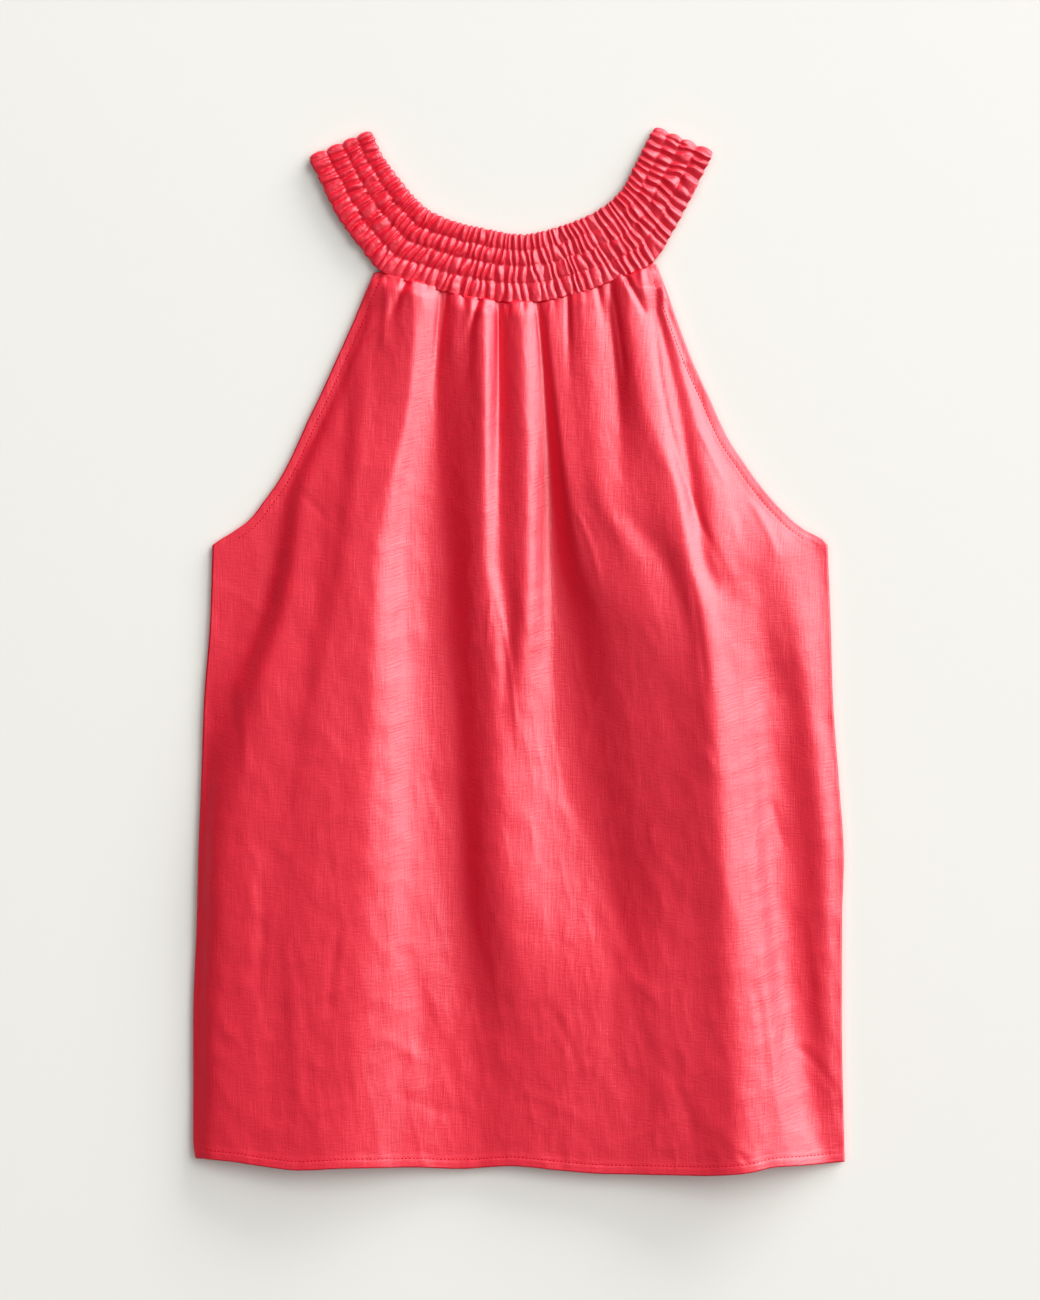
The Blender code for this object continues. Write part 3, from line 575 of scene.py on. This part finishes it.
def move(verts, x, y, z):
    """Put the points there, from millimetres to the frame's metres."""
    x, y, z = (np.broadcast_to(a, len(verts)) for a in (x, y, z))
    for vert, *place in zip(verts, x, y, z):
        vert.co = [(a + b) * MM for a, b in zip(place, ROW_SHIFT)]


def make_object(bm, name):
    """Turn the finished bmesh into an object of the scene."""
    for face in bm.faces:
        face.smooth = True
    mesh = bpy.data.meshes.new(name)
    bm.to_mesh(mesh)
    bm.free()
    piece = bpy.data.objects.new(name, mesh)
    bpy.context.collection.objects.link(piece)
    print(f"{name}: {sum(len(p.vertices) - 2 for p in mesh.polygons)} triangles")
    return piece


def make_cloth(bm, name, across_mm=0.0, along_mm=0.0):
    """Make the object; its UV map measures the cloth in metres.

    A ring is unrolled to the size given, a laid panel takes its plan.
    """
    bmesh.ops.recalc_face_normals(bm, faces=bm.faces)
    uv = bm.loops.layers.uv.new("cloth")
    s_layer, t_layer = bm.verts.layers.float["s"], bm.verts.layers.float["t"]
    for loop in (corner for face in bm.faces for corner in face.loops):
        vert = loop.vert
        if across_mm:
            loop[uv].uv = (vert[s_layer] * across_mm * MM, vert[t_layer] * along_mm * MM)
        else:
            climb = SLOPE_SHARE * vert.co.z
            loop[uv].uv = (vert.co.x + climb, vert.co.y + climb)
    return make_object(bm, name)


def points_of(made):
    """The points among the parts that an operator made."""
    return [part for part in made["geom"] if isinstance(part, bmesh.types.BMVert)]


def second_skin(bm):
    """Extrude every face while the first skin stays; the new points."""
    return points_of(bmesh.ops.extrude_face_region(bm, geom=list(bm.faces), use_keep_orig=True))


def rim_and_underside(bm, drop, columns, rows, place_under):
    """Turn the edge of the upper grid down and close it with a coarse grid."""
    edge = [e for e in bm.edges if e.is_boundary]
    for vert in points_of(bmesh.ops.extrude_edge_only(bm, edges=edge)):
        vert.co.z = max(vert.co.z - drop * MM, 0.0)
    rim = [e for e in bm.edges if e.is_boundary]
    under = grid_points("underside", bm, columns, rows)
    place_under(under)
    turned_down = set(rim)
    inner = [e for e in bm.edges if e.is_boundary and e not in turned_down]
    bmesh.ops.bridge_loops(bm, edges=rim + inner)


# %% [markdown]
# The front panel is one layer of linen.  Sculpting could give it the same
# folds, but from a map a fold is moved by changing a number.  The fine grid
# takes its heights from the map, and the coarse one lies lower, so that it
# never shows through.
# %% Front panel
FRONT_GRID = (276, 320)
FRONT_UNDER_GRID = (76, 84)
UNDER_REACH = (-2.0, 0.0, 2.0)      # the lowest place within this is what counts
UNDER_INSET = (0.992, 0.996)
UNDER_GAP = 0.15        # room left over the back panel
bm = bmesh.new()
upper = grid_points("front", bm, *FRONT_GRID)
x, y = plan(*places(upper, bm), HEM, front_top_y)
move(upper, x, y, height_at(x, y))


def front_under(verts):
    """Lay the coarse grid under the lowest cloth around each of its points."""
    s, t = places(verts, bm)
    ux, uy = plan(s * UNDER_INSET[0], t * UNDER_INSET[1], HEM, front_top_y)
    around = [height_at(ux + a, uy + b) for a in UNDER_REACH for b in UNDER_REACH]
    move(verts, ux, uy, np.maximum(np.min(around, axis=0) - WALL, BACK_TOP + UNDER_GAP))


rim_and_underside(bm, WALL, *FRONT_UNDER_GRID, front_under)
front = make_cloth(bm, "front_cloth")

# %% [markdown]
# The back panel is the same cut, pressed flat by the front.  Only a thin strip
# of it shows at the hem, but whoever turns the top over sees it all, so its
# underside has creases and turned edges too.  It rests on the table, so they
# are hollows that go up into the cloth.
# %% Back panel
BACK_GRID = (150, 180)
BACK_DENTS = 0.18
BACK_GROOVE = 0.25      # depth of a row of stitches
BACK_GROOVE_WIDTH = 1.6
#    x0, y0, x1, y1, bend, width, depth
BACK_CREASES = (
    (-92.0, 240.0, -122.0, 60.0, 4.0, 5.0, 0.45),
    (-44.0, 236.0, -56.0, -20.0, -3.0, 5.5, 0.5),
    (-8.0, 228.0, -4.0, 120.0, 1.0, 3.5, 0.35),
    (16.0, 230.0, 26.0, 40.0, 3.0, 4.5, 0.4),
    (62.0, 242.0, 98.0, -60.0, -5.0, 6.0, 0.55),
    (-176.0, 40.0, -188.0, -180.0, 5.0, 6.0, 0.5),
    (-120.0, -40.0, -138.0, -300.0, -6.0, 7.0, 0.5),
    (-30.0, -90.0, -18.0, -320.0, 5.0, 6.5, 0.45),
    (70.0, -120.0, 92.0, -330.0, 4.0, 6.0, 0.5),
    (150.0, 30.0, 172.0, -250.0, -6.0, 6.5, 0.55),
    (-204.0, 20.0, -150.0, -6.0, 3.0, 4.0, 0.35),
    (110.0, 64.0, 196.0, 22.0, -4.0, 4.5, 0.35),
    (-80.0, -220.0, -10.0, -246.0, 3.0, 5.0, 0.3),
    (112.0, -262.0, 190.0, -290.0, -3.0, 5.0, 0.3),
)
bm = bmesh.new()
upper = grid_points("back", bm, *BACK_GRID)
x, y = plan(*places(upper, bm), BACK_HEM)
move(upper, x, y, BACK_TOP)
under = second_skin(bm)
x, y = plan(*places(under, bm), BACK_HEM)
hollow = BACK_DENTS * (dents(x, y, 26.0, 50.0, 31) + dents(x + 0.3 * y, y, 11.0, 15.0, 32))
add_creases(hollow, x, y, BACK_CREASES)
turned = [(y - curve(*BACK_HEM.T, x), HEM_TURN)]
turned += [(distance_to(line, x, y), ARMHOLE_TURN) for line in armhole_lines]
for from_edge, depth in turned:
    hollow += BACK_GROOVE * np.exp(-((from_edge - depth + STITCH_INSET) / BACK_GROOVE_WIDTH) ** 2)
move(under, x, y, hollow)
back = make_cloth(bm, "back_cloth")
print(f"hollows up to {hollow.max():.2f} mm deep in the underside")

# %% [markdown]
# The neckband is one strip sewn into a ring and shirred with three rows of
# elastic, so the cloth stands up in small puffs.  Every puff could be modelled
# and copied, but no two are alike.  Instead one grid runs all the way round,
# and a formula of ridges across and pinches along raises it.  The first step
# walks along the band and counts its gathers from the pitch in the table.
# %% Gathers along the neckband
GATHER_COLUMNS = 11     # columns of the grid in each gather
BAND_ROWS = 52
WALK_STEPS = 800
fine = np.linspace(0.0, BAND_END, WALK_STEPS)
middle = band_at(fine, np.full(WALK_STEPS, 0.5))
step = np.hypot(*np.diff(middle, axis=0).T) / curve(np.arange(len(BAND)), BAND[:, 4], fine[1:])
phase_of = np.concatenate(([0.0], np.cumsum(step)))
GATHER_COUNT = round(phase_of[-1])
phase_of *= GATHER_COUNT / phase_of[-1]
print(f"{GATHER_COUNT} gathers round the front half of the band")

# %% [markdown]
# Each gather is one turn of a sine wave, and each strip between two elastics
# bulges like half of another.  Their product is a puff.  Random sideways
# wander, uneven strength and small knots at the elastics keep it from looking
# knitted.  The left strap is pulled open, the middle is drawn tight and the
# right strap lies in long ridges, so the table has three values for each
# habit, blended along the band.
# %% Heights of the smocking
BAND_WALL = 1.2
BAND_REST = 3.1         # upper face of the front half in the deepest pinch
RIDGE = 3.0
ELASTIC = np.array((0.0, 0.24, 0.47, 0.73, 1.0))
ELASTIC_WANDER = 0.030
NECK_STRIP, SEAM_STRIP = 0, 3
NECK_ROLL = 0.46        # share of the first strip that rolls over at the edge
VALLEYS = (5, 400)      # size of the table that makes some valleys shallow
NOISE_STEP = 10         # length of a gather in the noise
LEFT_TO_MIDDLE = (0.1, 0.42)        # shares of the way along the band
MIDDLE_TO_RIGHT = (0.66, 0.9)
#              left, middle, right
HABITS = {
    "wander": (1.1, 1.1, 0.85),         # sideways, in gathers
    "lean": (1.0, 1.4, 1.4),            # over 1, a crest leans to one side
    "fullness": (0.22, 0.40, 0.40),     # lower values fill the strip more
    "narrowing": (0.75, 0.75, 0.45),    # how much sharper a ridge is at an elastic
    "strength": (1.1, 0.8, 0.9),
    "grip": (0.55, 0.82, 0.72),         # how far the elastic pulls a ridge down
    "puff": (0.4, 0.4, 0.2),            # rise of the cloth between the ridges
}


def elastic_strip(across):
    """Strip between two elastics that a point is in, and how far along it."""
    strip = np.clip(np.searchsorted(ELASTIC, across, side="right") - 1, 0, len(ELASTIC) - 2)
    part = (across - ELASTIC[strip]) / (ELASTIC[strip + 1] - ELASTIC[strip])
    return strip, np.clip(part, 0.0, 1.0)


def smocking(phase, across):
    """Height over the pinched cloth, and how far the point is up its ridge."""
    from_left = smooth(*LEFT_TO_MIDDLE, phase / GATHER_COUNT)
    to_right = smooth(*MIDDLE_TO_RIGHT, phase / GATHER_COUNT)
    habit = {name: left + (mid - left) * from_left + (right - mid) * to_right
             for name, (left, mid, right) in HABITS.items()}
    along = phase * NOISE_STEP

    def uneven(y, cell_x, cell_y, seed):
        """Random values round zero."""
        return dents(along, y, cell_x, cell_y, seed) - 0.5

    strip, part = elastic_strip(across + ELASTIC_WANDER * uneven(across * 0, 9.0, 9.0, 21))
    wander = habit["wander"] * uneven(strip * 9.0 + part * 2.0, 13.0, 9.0, 22)
    wander += 0.45 * uneven(across * 60, 8.0, 10.0, 23)
    turn = phase + wander
    wave = np.sin(np.pi * np.mod(turn, 1.0) ** habit["lean"])
    puff = np.sin(np.pi * part) ** habit["fullness"]
    ridge = wave ** (1.35 - habit["narrowing"] * puff)

    # Some valleys are shallow, so that two ridges read as one.
    valley = np.round(turn).astype(int)
    shallow = np.random.default_rng(25).random(VALLEYS)[strip, valley % VALLEYS[1]]
    shallow = shallow * np.where(strip == SEAM_STRIP, 0.15 + 0.75 * part, 0.22)
    ridge = 1 - (1 - ridge) * (1 - shallow)

    # The elastics hold the ridges down; the neck edge rolls over instead, and
    # towards the seam they run on.
    pinched = 1 - habit["grip"] * (1 - puff)
    rolled = np.sqrt(1 - (1 - part * 2.2).clip(0, 1) ** 2)
    pinched = np.where((strip == NECK_STRIP) & (part < NECK_ROLL), 0.25 + 0.75 * rolled, pinched)
    pinched = np.where((strip == SEAM_STRIP) & (part > 0.6), np.maximum(pinched, 0.8), pinched)

    strength = (0.55 + 0.6 * dents(along, strip * 9.0, 9.0, 9.0, 24)) * habit["strength"]
    knots = 0.7 * (1 - puff) * uneven(across * 150, 2.6, 3.4, 27)
    crumpled = 0.34 * puff * uneven(across * 150, 3.6, 9.0, 28)
    return habit["puff"] * puff + RIDGE * ridge * strength * pinched + knots + crumpled, ridge


tallest = smocking(np.linspace(0.0, GATHER_COUNT, WALK_STEPS), np.full(WALK_STEPS, 0.12))[0].max()
print(f"puffs up to {tallest:.1f} mm high along the neck edge")

# %% [markdown]
# The grid's columns go along the front half, round one shoulder fold, back
# along the rear half and round the other fold.  The rear half lies flat and
# plain.  Merging the first and last column closes the ring.  At the neck edge
# and at the seam the crests reach out a little, which makes the scallops.
# %% Neckband
TIP_COLUMNS = 10
REAR_COLUMNS = 150
TIP_OUT = 1.9           # how far the fold at a shoulder reaches out
TIP_PUFF = 2.0
SCALLOP = 1.1
SCALLOP_MIDDLE = 0.3    # a crest above this reaches out, a valley draws in
GATHER_CLOTH = 6.0      # half the cloth in one gather, for the UV map
BAND_CLOTH = 27.0       # half the cloth across the band, for the UV map
front_columns = GATHER_COUNT * GATHER_COLUMNS
total = front_columns + REAR_COLUMNS + 2 * TIP_COLUMNS
right_tip = front_columns
rear = right_tip + TIP_COLUMNS
left_tip = rear + REAR_COLUMNS
bm = bmesh.new()
ring = grid_points("neckband", bm, total, BAND_ROWS)


def ring_place(s, t, depth):
    """Point of the ring's outer skin, or of the skin that is depth under it."""
    column = (s + 1) / 2 * total
    across = (1 - t) / 2
    phase = np.clip(column / GATHER_COLUMNS, 0, GATHER_COUNT)
    is_rear = (column >= rear) & (column <= left_tip)
    is_tip = (column > right_tip) & (column < rear) | (column > left_tip)
    back_share = np.clip((column - rear) / REAR_COLUMNS, 0, 1)
    station = np.interp(phase, phase_of, fine)
    station = np.where(column >= rear, BAND_END * (1 - back_share), station)
    phase = np.where(column >= left_tip, 0.0, phase)
    rise, ridge = smocking(phase, across)
    xy = band_at(station, across)
    outward = band_at(station, across * 0) - band_at(station, across * 0 + 0.05)
    outward /= np.linalg.norm(outward, axis=1)[:, None]
    near_neck, near_seam = np.exp(-(across / 0.05) ** 2), np.exp(-((1 - across) / 0.07) ** 2)
    scallop = (near_neck - near_seam) * SCALLOP * (ridge - SCALLOP_MIDDLE) * ~is_rear
    xy = xy + outward * scallop[:, None]
    top = BAND_REST + rise
    z = np.where(is_rear, depth, np.maximum(top - depth, BAND_WALL + 0.2))

    # Round a tip the section is half a circle, from the front half to the rear.
    at_left = column > left_tip
    angle = np.where(at_left, (column - left_tip) / TIP_COLUMNS - 0.5,
                     0.5 - (column - right_tip) / TIP_COLUMNS) * np.pi
    ends = np.where(at_left, 0.0, BAND_END)
    inward = np.where(at_left, 0.1, BAND_END - 0.1)
    away = band_at(ends, across * 0 + 0.5) - band_at(inward, across * 0 + 0.5)
    away /= np.linalg.norm(away, axis=1)[:, None]
    _, part = elastic_strip(across)
    reach = TIP_OUT + TIP_PUFF * np.sin(np.pi * part) ** 0.6 - depth
    end_xy = band_at(ends, across) + away * (reach * np.cos(angle))[:, None]
    end_z = top / 2 + (top / 2 - depth) * np.sin(angle)
    xy = np.where(is_tip[:, None], end_xy, xy)
    return xy[:, 0], xy[:, 1], np.where(is_tip, end_z, z)


s, t = places(ring, bm)
move(ring, *ring_place(s, t, 0.0))
ends = [v for v, place in zip(ring, s) if abs(place) > 0.99999]
bmesh.ops.remove_doubles(bm, verts=ends, dist=0.02 * MM)
inner = second_skin(bm)
s, t = places(inner, bm)
move(inner, *ring_place(s, t, BAND_WALL))
band = make_cloth(bm, "band_cloth", GATHER_COUNT * GATHER_CLOTH, BAND_CLOTH)

# %% [markdown]
# Stitches are small raised bars of thread.  They could be painted, but real
# ones catch the light.  One low ball is stretched and turned for each, and all
# stitches of one seam become one object.
# %% Rows of stitches
STITCH = (1.15, 0.36, 0.26)     # half of its length, width and height
STITCH_PITCH = 2.65


def stitched(name, points, slant):
    """Lay stitches along a chain of plan points on the front cloth."""
    points = np.asarray(points)
    length = np.concatenate(([0.0], np.cumsum(np.hypot(*np.diff(points, axis=0).T))))
    at = np.arange(STITCH_PITCH, length[-1] - STITCH_PITCH, STITCH_PITCH)
    x, y = (np.interp(at, length, points[:, k]) for k in (0, 1))
    ahead = np.stack((np.gradient(x), np.gradient(y)), 1)
    z = height_at(x, y)
    bm = bmesh.new()
    for k in range(len(at)):
        turn = math.atan2(ahead[k, 1], ahead[k, 0]) + slant
        place = Vector([(a + b) * MM for a, b in zip((x[k], y[k], z[k] + 0.02), ROW_SHIFT)])
        shape = (Matrix.Translation(place) @ Matrix.Rotation(turn, 4, "Z")
                 @ Matrix.Diagonal([a * MM for a in STITCH] + [1.0]))
        bmesh.ops.create_icosphere(bm, subdivisions=1, radius=1.0, matrix=shape)
    print(f"{name}: {len(at)} stitches")
    return make_object(bm, name)


hem_x = np.linspace(-214.0, 216.0, 120)
hem_y = curve(*HEM.T, hem_x) + HEM_TURN - STITCH_INSET
hem_stitches = stitched("hem_stitches", np.stack((hem_x, hem_y), 1), math.radians(18.0))
armhole_stitches = []
for name, line, side in zip(("left_armhole_stitches", "right_armhole_stitches"), armhole_lines,
                            (1.0, -1.0)):
    run = np.gradient(line, axis=0)
    run /= np.linalg.norm(run, axis=1)[:, None]
    inward = np.stack((run[:, 1], -run[:, 0]), 1) * side * (ARMHOLE_TURN - STITCH_INSET)
    row = (line + inward)[4:-3]
    armhole_stitches.append(stitched(name, row, math.radians(12.0 * side)))

# %% [markdown]
# Linen yarn is uneven: thick slubs run along single threads, both ways.  Two
# noises, each stretched along one direction of the UV map, colour and raise
# the cloth, and a third makes it faintly patchy.  A photo of such a weave could
# be laid on as well, but noise needs no picture and never repeats.  Linen seen
# close is plain red, but its fibres scatter the lamp's light white at a slant,
# so the highlight is broad and pale.
# %% Linen material
LINEN_DARK = (0.88, 0.0015, 0.041)
LINEN_LIGHT = (0.90, 0.009, 0.061)
LINEN_ROUGHNESS = 0.48
LINEN_IOR = 2.12        # high, for the pale sheen of the fibres
YARN_RELIEF = 0.00019   # height of the bump, in metres
#          across and along the garment, per metre
WARP = (760.0, 55.0, 1.0)
WEFT = (150.0, 760.0, 1.0)
PATCHES = (70.0, 50.0, 1.0)


def node(tree, kind, **values):
    """Add a shader node and set its inputs by name."""
    made = tree.nodes.new(kind)
    for key, value in values.items():
        if key in made.inputs:
            made.inputs[key].default_value = value
        else:
            setattr(made, key, value)
    return made


def yarn_noise(tree, uv, scale, detail):
    """Noise stretched along the threads."""
    stretch = node(tree, "ShaderNodeMapping", Scale=scale)
    noise = node(tree, "ShaderNodeTexNoise", Scale=1.0, Detail=detail, Roughness=0.6)
    tree.links.new(uv.outputs["UV"], stretch.inputs["Vector"])
    tree.links.new(stretch.outputs["Vector"], noise.inputs["Vector"])
    return noise.outputs["Fac"]


def maths(tree, operation, *values):
    """One maths node; each value is a number or another node's output."""
    made = node(tree, "ShaderNodeMath", operation=operation)
    for socket, value in zip(made.inputs, values):
        if isinstance(value, float):
            socket.default_value = value
        else:
            tree.links.new(value, socket)
    return made.outputs[0]


def dye(tree, shader, dark, light, share):
    """Colour the shader between two colours."""
    mix = node(tree, "ShaderNodeMix", data_type="RGBA")
    mix.inputs["A"].default_value = (*dark, 1.0)
    mix.inputs["B"].default_value = (*light, 1.0)
    tree.links.new(share, mix.inputs["Factor"])
    tree.links.new(mix.outputs["Result"], shader.inputs["Base Color"])


def new_material(name, roughness):
    """Material with one Principled shader; its node tree and that shader."""
    material = bpy.data.materials.new(name)
    material.use_nodes = True
    shader = material.node_tree.nodes["Principled BSDF"]
    shader.inputs["Roughness"].default_value = roughness
    return material, material.node_tree, shader


def linen(name, dark, light):
    """Woven linen between two colours."""
    material, tree, shader = new_material(name, LINEN_ROUGHNESS)
    uv = node(tree, "ShaderNodeUVMap", uv_map="cloth")
    warp = yarn_noise(tree, uv, WARP, 2.0)
    weft = yarn_noise(tree, uv, WEFT, 2.0)
    patch = yarn_noise(tree, uv, PATCHES, 3.0)
    yarn = maths(tree, "ADD", warp, weft)
    shade = maths(tree, "MULTIPLY_ADD", yarn, 0.7, -0.4)
    dye(tree, shader, dark, light, maths(tree, "ADD", shade, maths(tree, "MULTIPLY", patch, 0.25)))
    bump = node(tree, "ShaderNodeBump", Strength=1.0, Distance=YARN_RELIEF)
    tree.links.new(yarn, bump.inputs["Height"])
    tree.links.new(bump.outputs["Normal"], shader.inputs["Normal"])
    shader.inputs["IOR"].default_value = LINEN_IOR
    shader.inputs["Specular IOR Level"].default_value = 1.0
    return material


cloth_finish = linen("linen", LINEN_DARK, LINEN_LIGHT)
for piece in (front, back, band):
    piece.data.materials.append(cloth_finish)
print("linen on", [p.name for p in (front, back, band)])

# %% [markdown]
# Sewing thread is smoother than linen and lies in the groove.  Its colour is
# painted a little darker than the linen, as painted shade for that groove.
# %% Thread material
# Both thread colours hold painted shade of the groove; the twist noise mixes them.
THREAD_PAINTED_SHADE_DARK = (0.60, 0.004, 0.022)
THREAD_PAINTED_SHADE_LIGHT = (0.80, 0.012, 0.042)
THREAD_TWIST = 900.0
thread, tree, shader = new_material("thread", 0.5)
coords = node(tree, "ShaderNodeTexCoord")
twist = node(tree, "ShaderNodeTexNoise", Scale=THREAD_TWIST)
tree.links.new(coords.outputs["Object"], twist.inputs["Vector"])
dye(tree, shader, THREAD_PAINTED_SHADE_DARK, THREAD_PAINTED_SHADE_LIGHT, twist.outputs["Fac"])
for piece in (hem_stitches, *armhole_stitches):
    piece.data.materials.append(thread)
print(f"thread on {1 + len(armhole_stitches)} rows of stitches")

# %% [markdown]
# Every piece rides on the CAD's one body, and the three cloths stand for its
# three nodes.
# %% Tie the pieces to the frame
for piece, cad_node in ((front, "front_panel"), (back, "back_panel"), (band, "neckband")):
    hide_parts(cad_node)
for piece in (front, back, band, hem_stitches, *armhole_stitches):
    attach(piece, "root")

# %% [markdown]
# The picture is taken on a pale table, which is only for the picture: it
# doesn't belong to the garment.  A plain plane with dull paper on it is enough.
# %% Table
TABLE_SIZE = 12.0
TABLE_DROP = 0.0003     # in metres, so that it never flickers with the cloth
PAPER = (0.81, 0.80, 0.762, 1.0)
bpy.ops.mesh.primitive_plane_add(size=TABLE_SIZE, location=(0.0, 0.0, -TABLE_DROP))
table = bpy.context.object
table.name = "table"
paper, _, shader = new_material("paper", 1.0)
shader.inputs["Base Color"].default_value = PAPER
shader.inputs["Specular IOR Level"].default_value = 0.0
table.data.materials.append(paper)
print(f"table {TABLE_SIZE:.0f} m wide")

# %% [markdown]
# A large soft lamp stands to the upper right, and a narrow one still lower on
# that side rakes across the folds.  A wide one overhead fills the shadows.
# Only the first shows as a sheen; the other two give light without one.  A
# white room alone would be softer still, but then no fold would show.
# %% Lamps
#          azimuth, elevation, distance in m, width and height in m, watts
LAMPS = {
    "key": (33.0, 32.0, 14.0, 18.0, 14.0, 1550.0),
    "low": (55.0, 12.0, 8.0, 7.0, 2.0, 420.0),
    "fill": (0.0, 90.0, 6.0, 14.0, 14.0, 360.0),
}
ROOM_COLOUR = (1.0, 0.99, 0.98, 1.0)
ROOM_STRENGTH = 0.001
for name, (azimuth, rise, distance, width, length, watts) in LAMPS.items():
    lamp_data = bpy.data.lights.new(name, "AREA")
    lamp_data.shape = "RECTANGLE"
    lamp_data.size = width
    lamp_data.size_y = length
    lamp_data.energy = watts
    lamp = bpy.data.objects.new(name, lamp_data)
    azimuth, rise = math.radians(azimuth), math.radians(rise)
    toward = Vector((math.cos(azimuth) * math.cos(rise), math.sin(azimuth) * math.cos(rise),
                     math.sin(rise)))
    lamp.location = toward * distance
    lamp.rotation_euler = toward.to_track_quat("Z", "Y").to_euler()
    bpy.context.collection.objects.link(lamp)
    lamp.visible_glossy = name == "key"

world = bpy.data.worlds.new("room")
world.use_nodes = True
background = world.node_tree.nodes["Background"]
background.inputs["Color"].default_value = ROOM_COLOUR
background.inputs["Strength"].default_value = ROOM_STRENGTH
bpy.context.scene.world = world
print("lamps:", list(LAMPS))

# %% [markdown]
# The camera looks straight down from far away with a long lens, so that the
# garment's plan shows as it is, with almost no perspective.
# %% Camera
CAMERA_LENS = 100.0
CAMERA_SENSOR = 36.0
CAMERA_PLACE = (0.0007, 0.0004, 2.4606)
camera_data = bpy.data.cameras.new("camera")
camera_data.lens = CAMERA_LENS
camera_data.sensor_width = CAMERA_SENSOR
camera_data.clip_end = 20.0
camera = bpy.data.objects.new("camera", camera_data)
camera.location = CAMERA_PLACE
bpy.context.collection.objects.link(camera)
bpy.context.scene.camera = camera
bpy.context.scene.view_settings.view_transform = "Standard"
bpy.context.scene.view_settings.look = "High Contrast"
print("camera", tuple(camera.location))
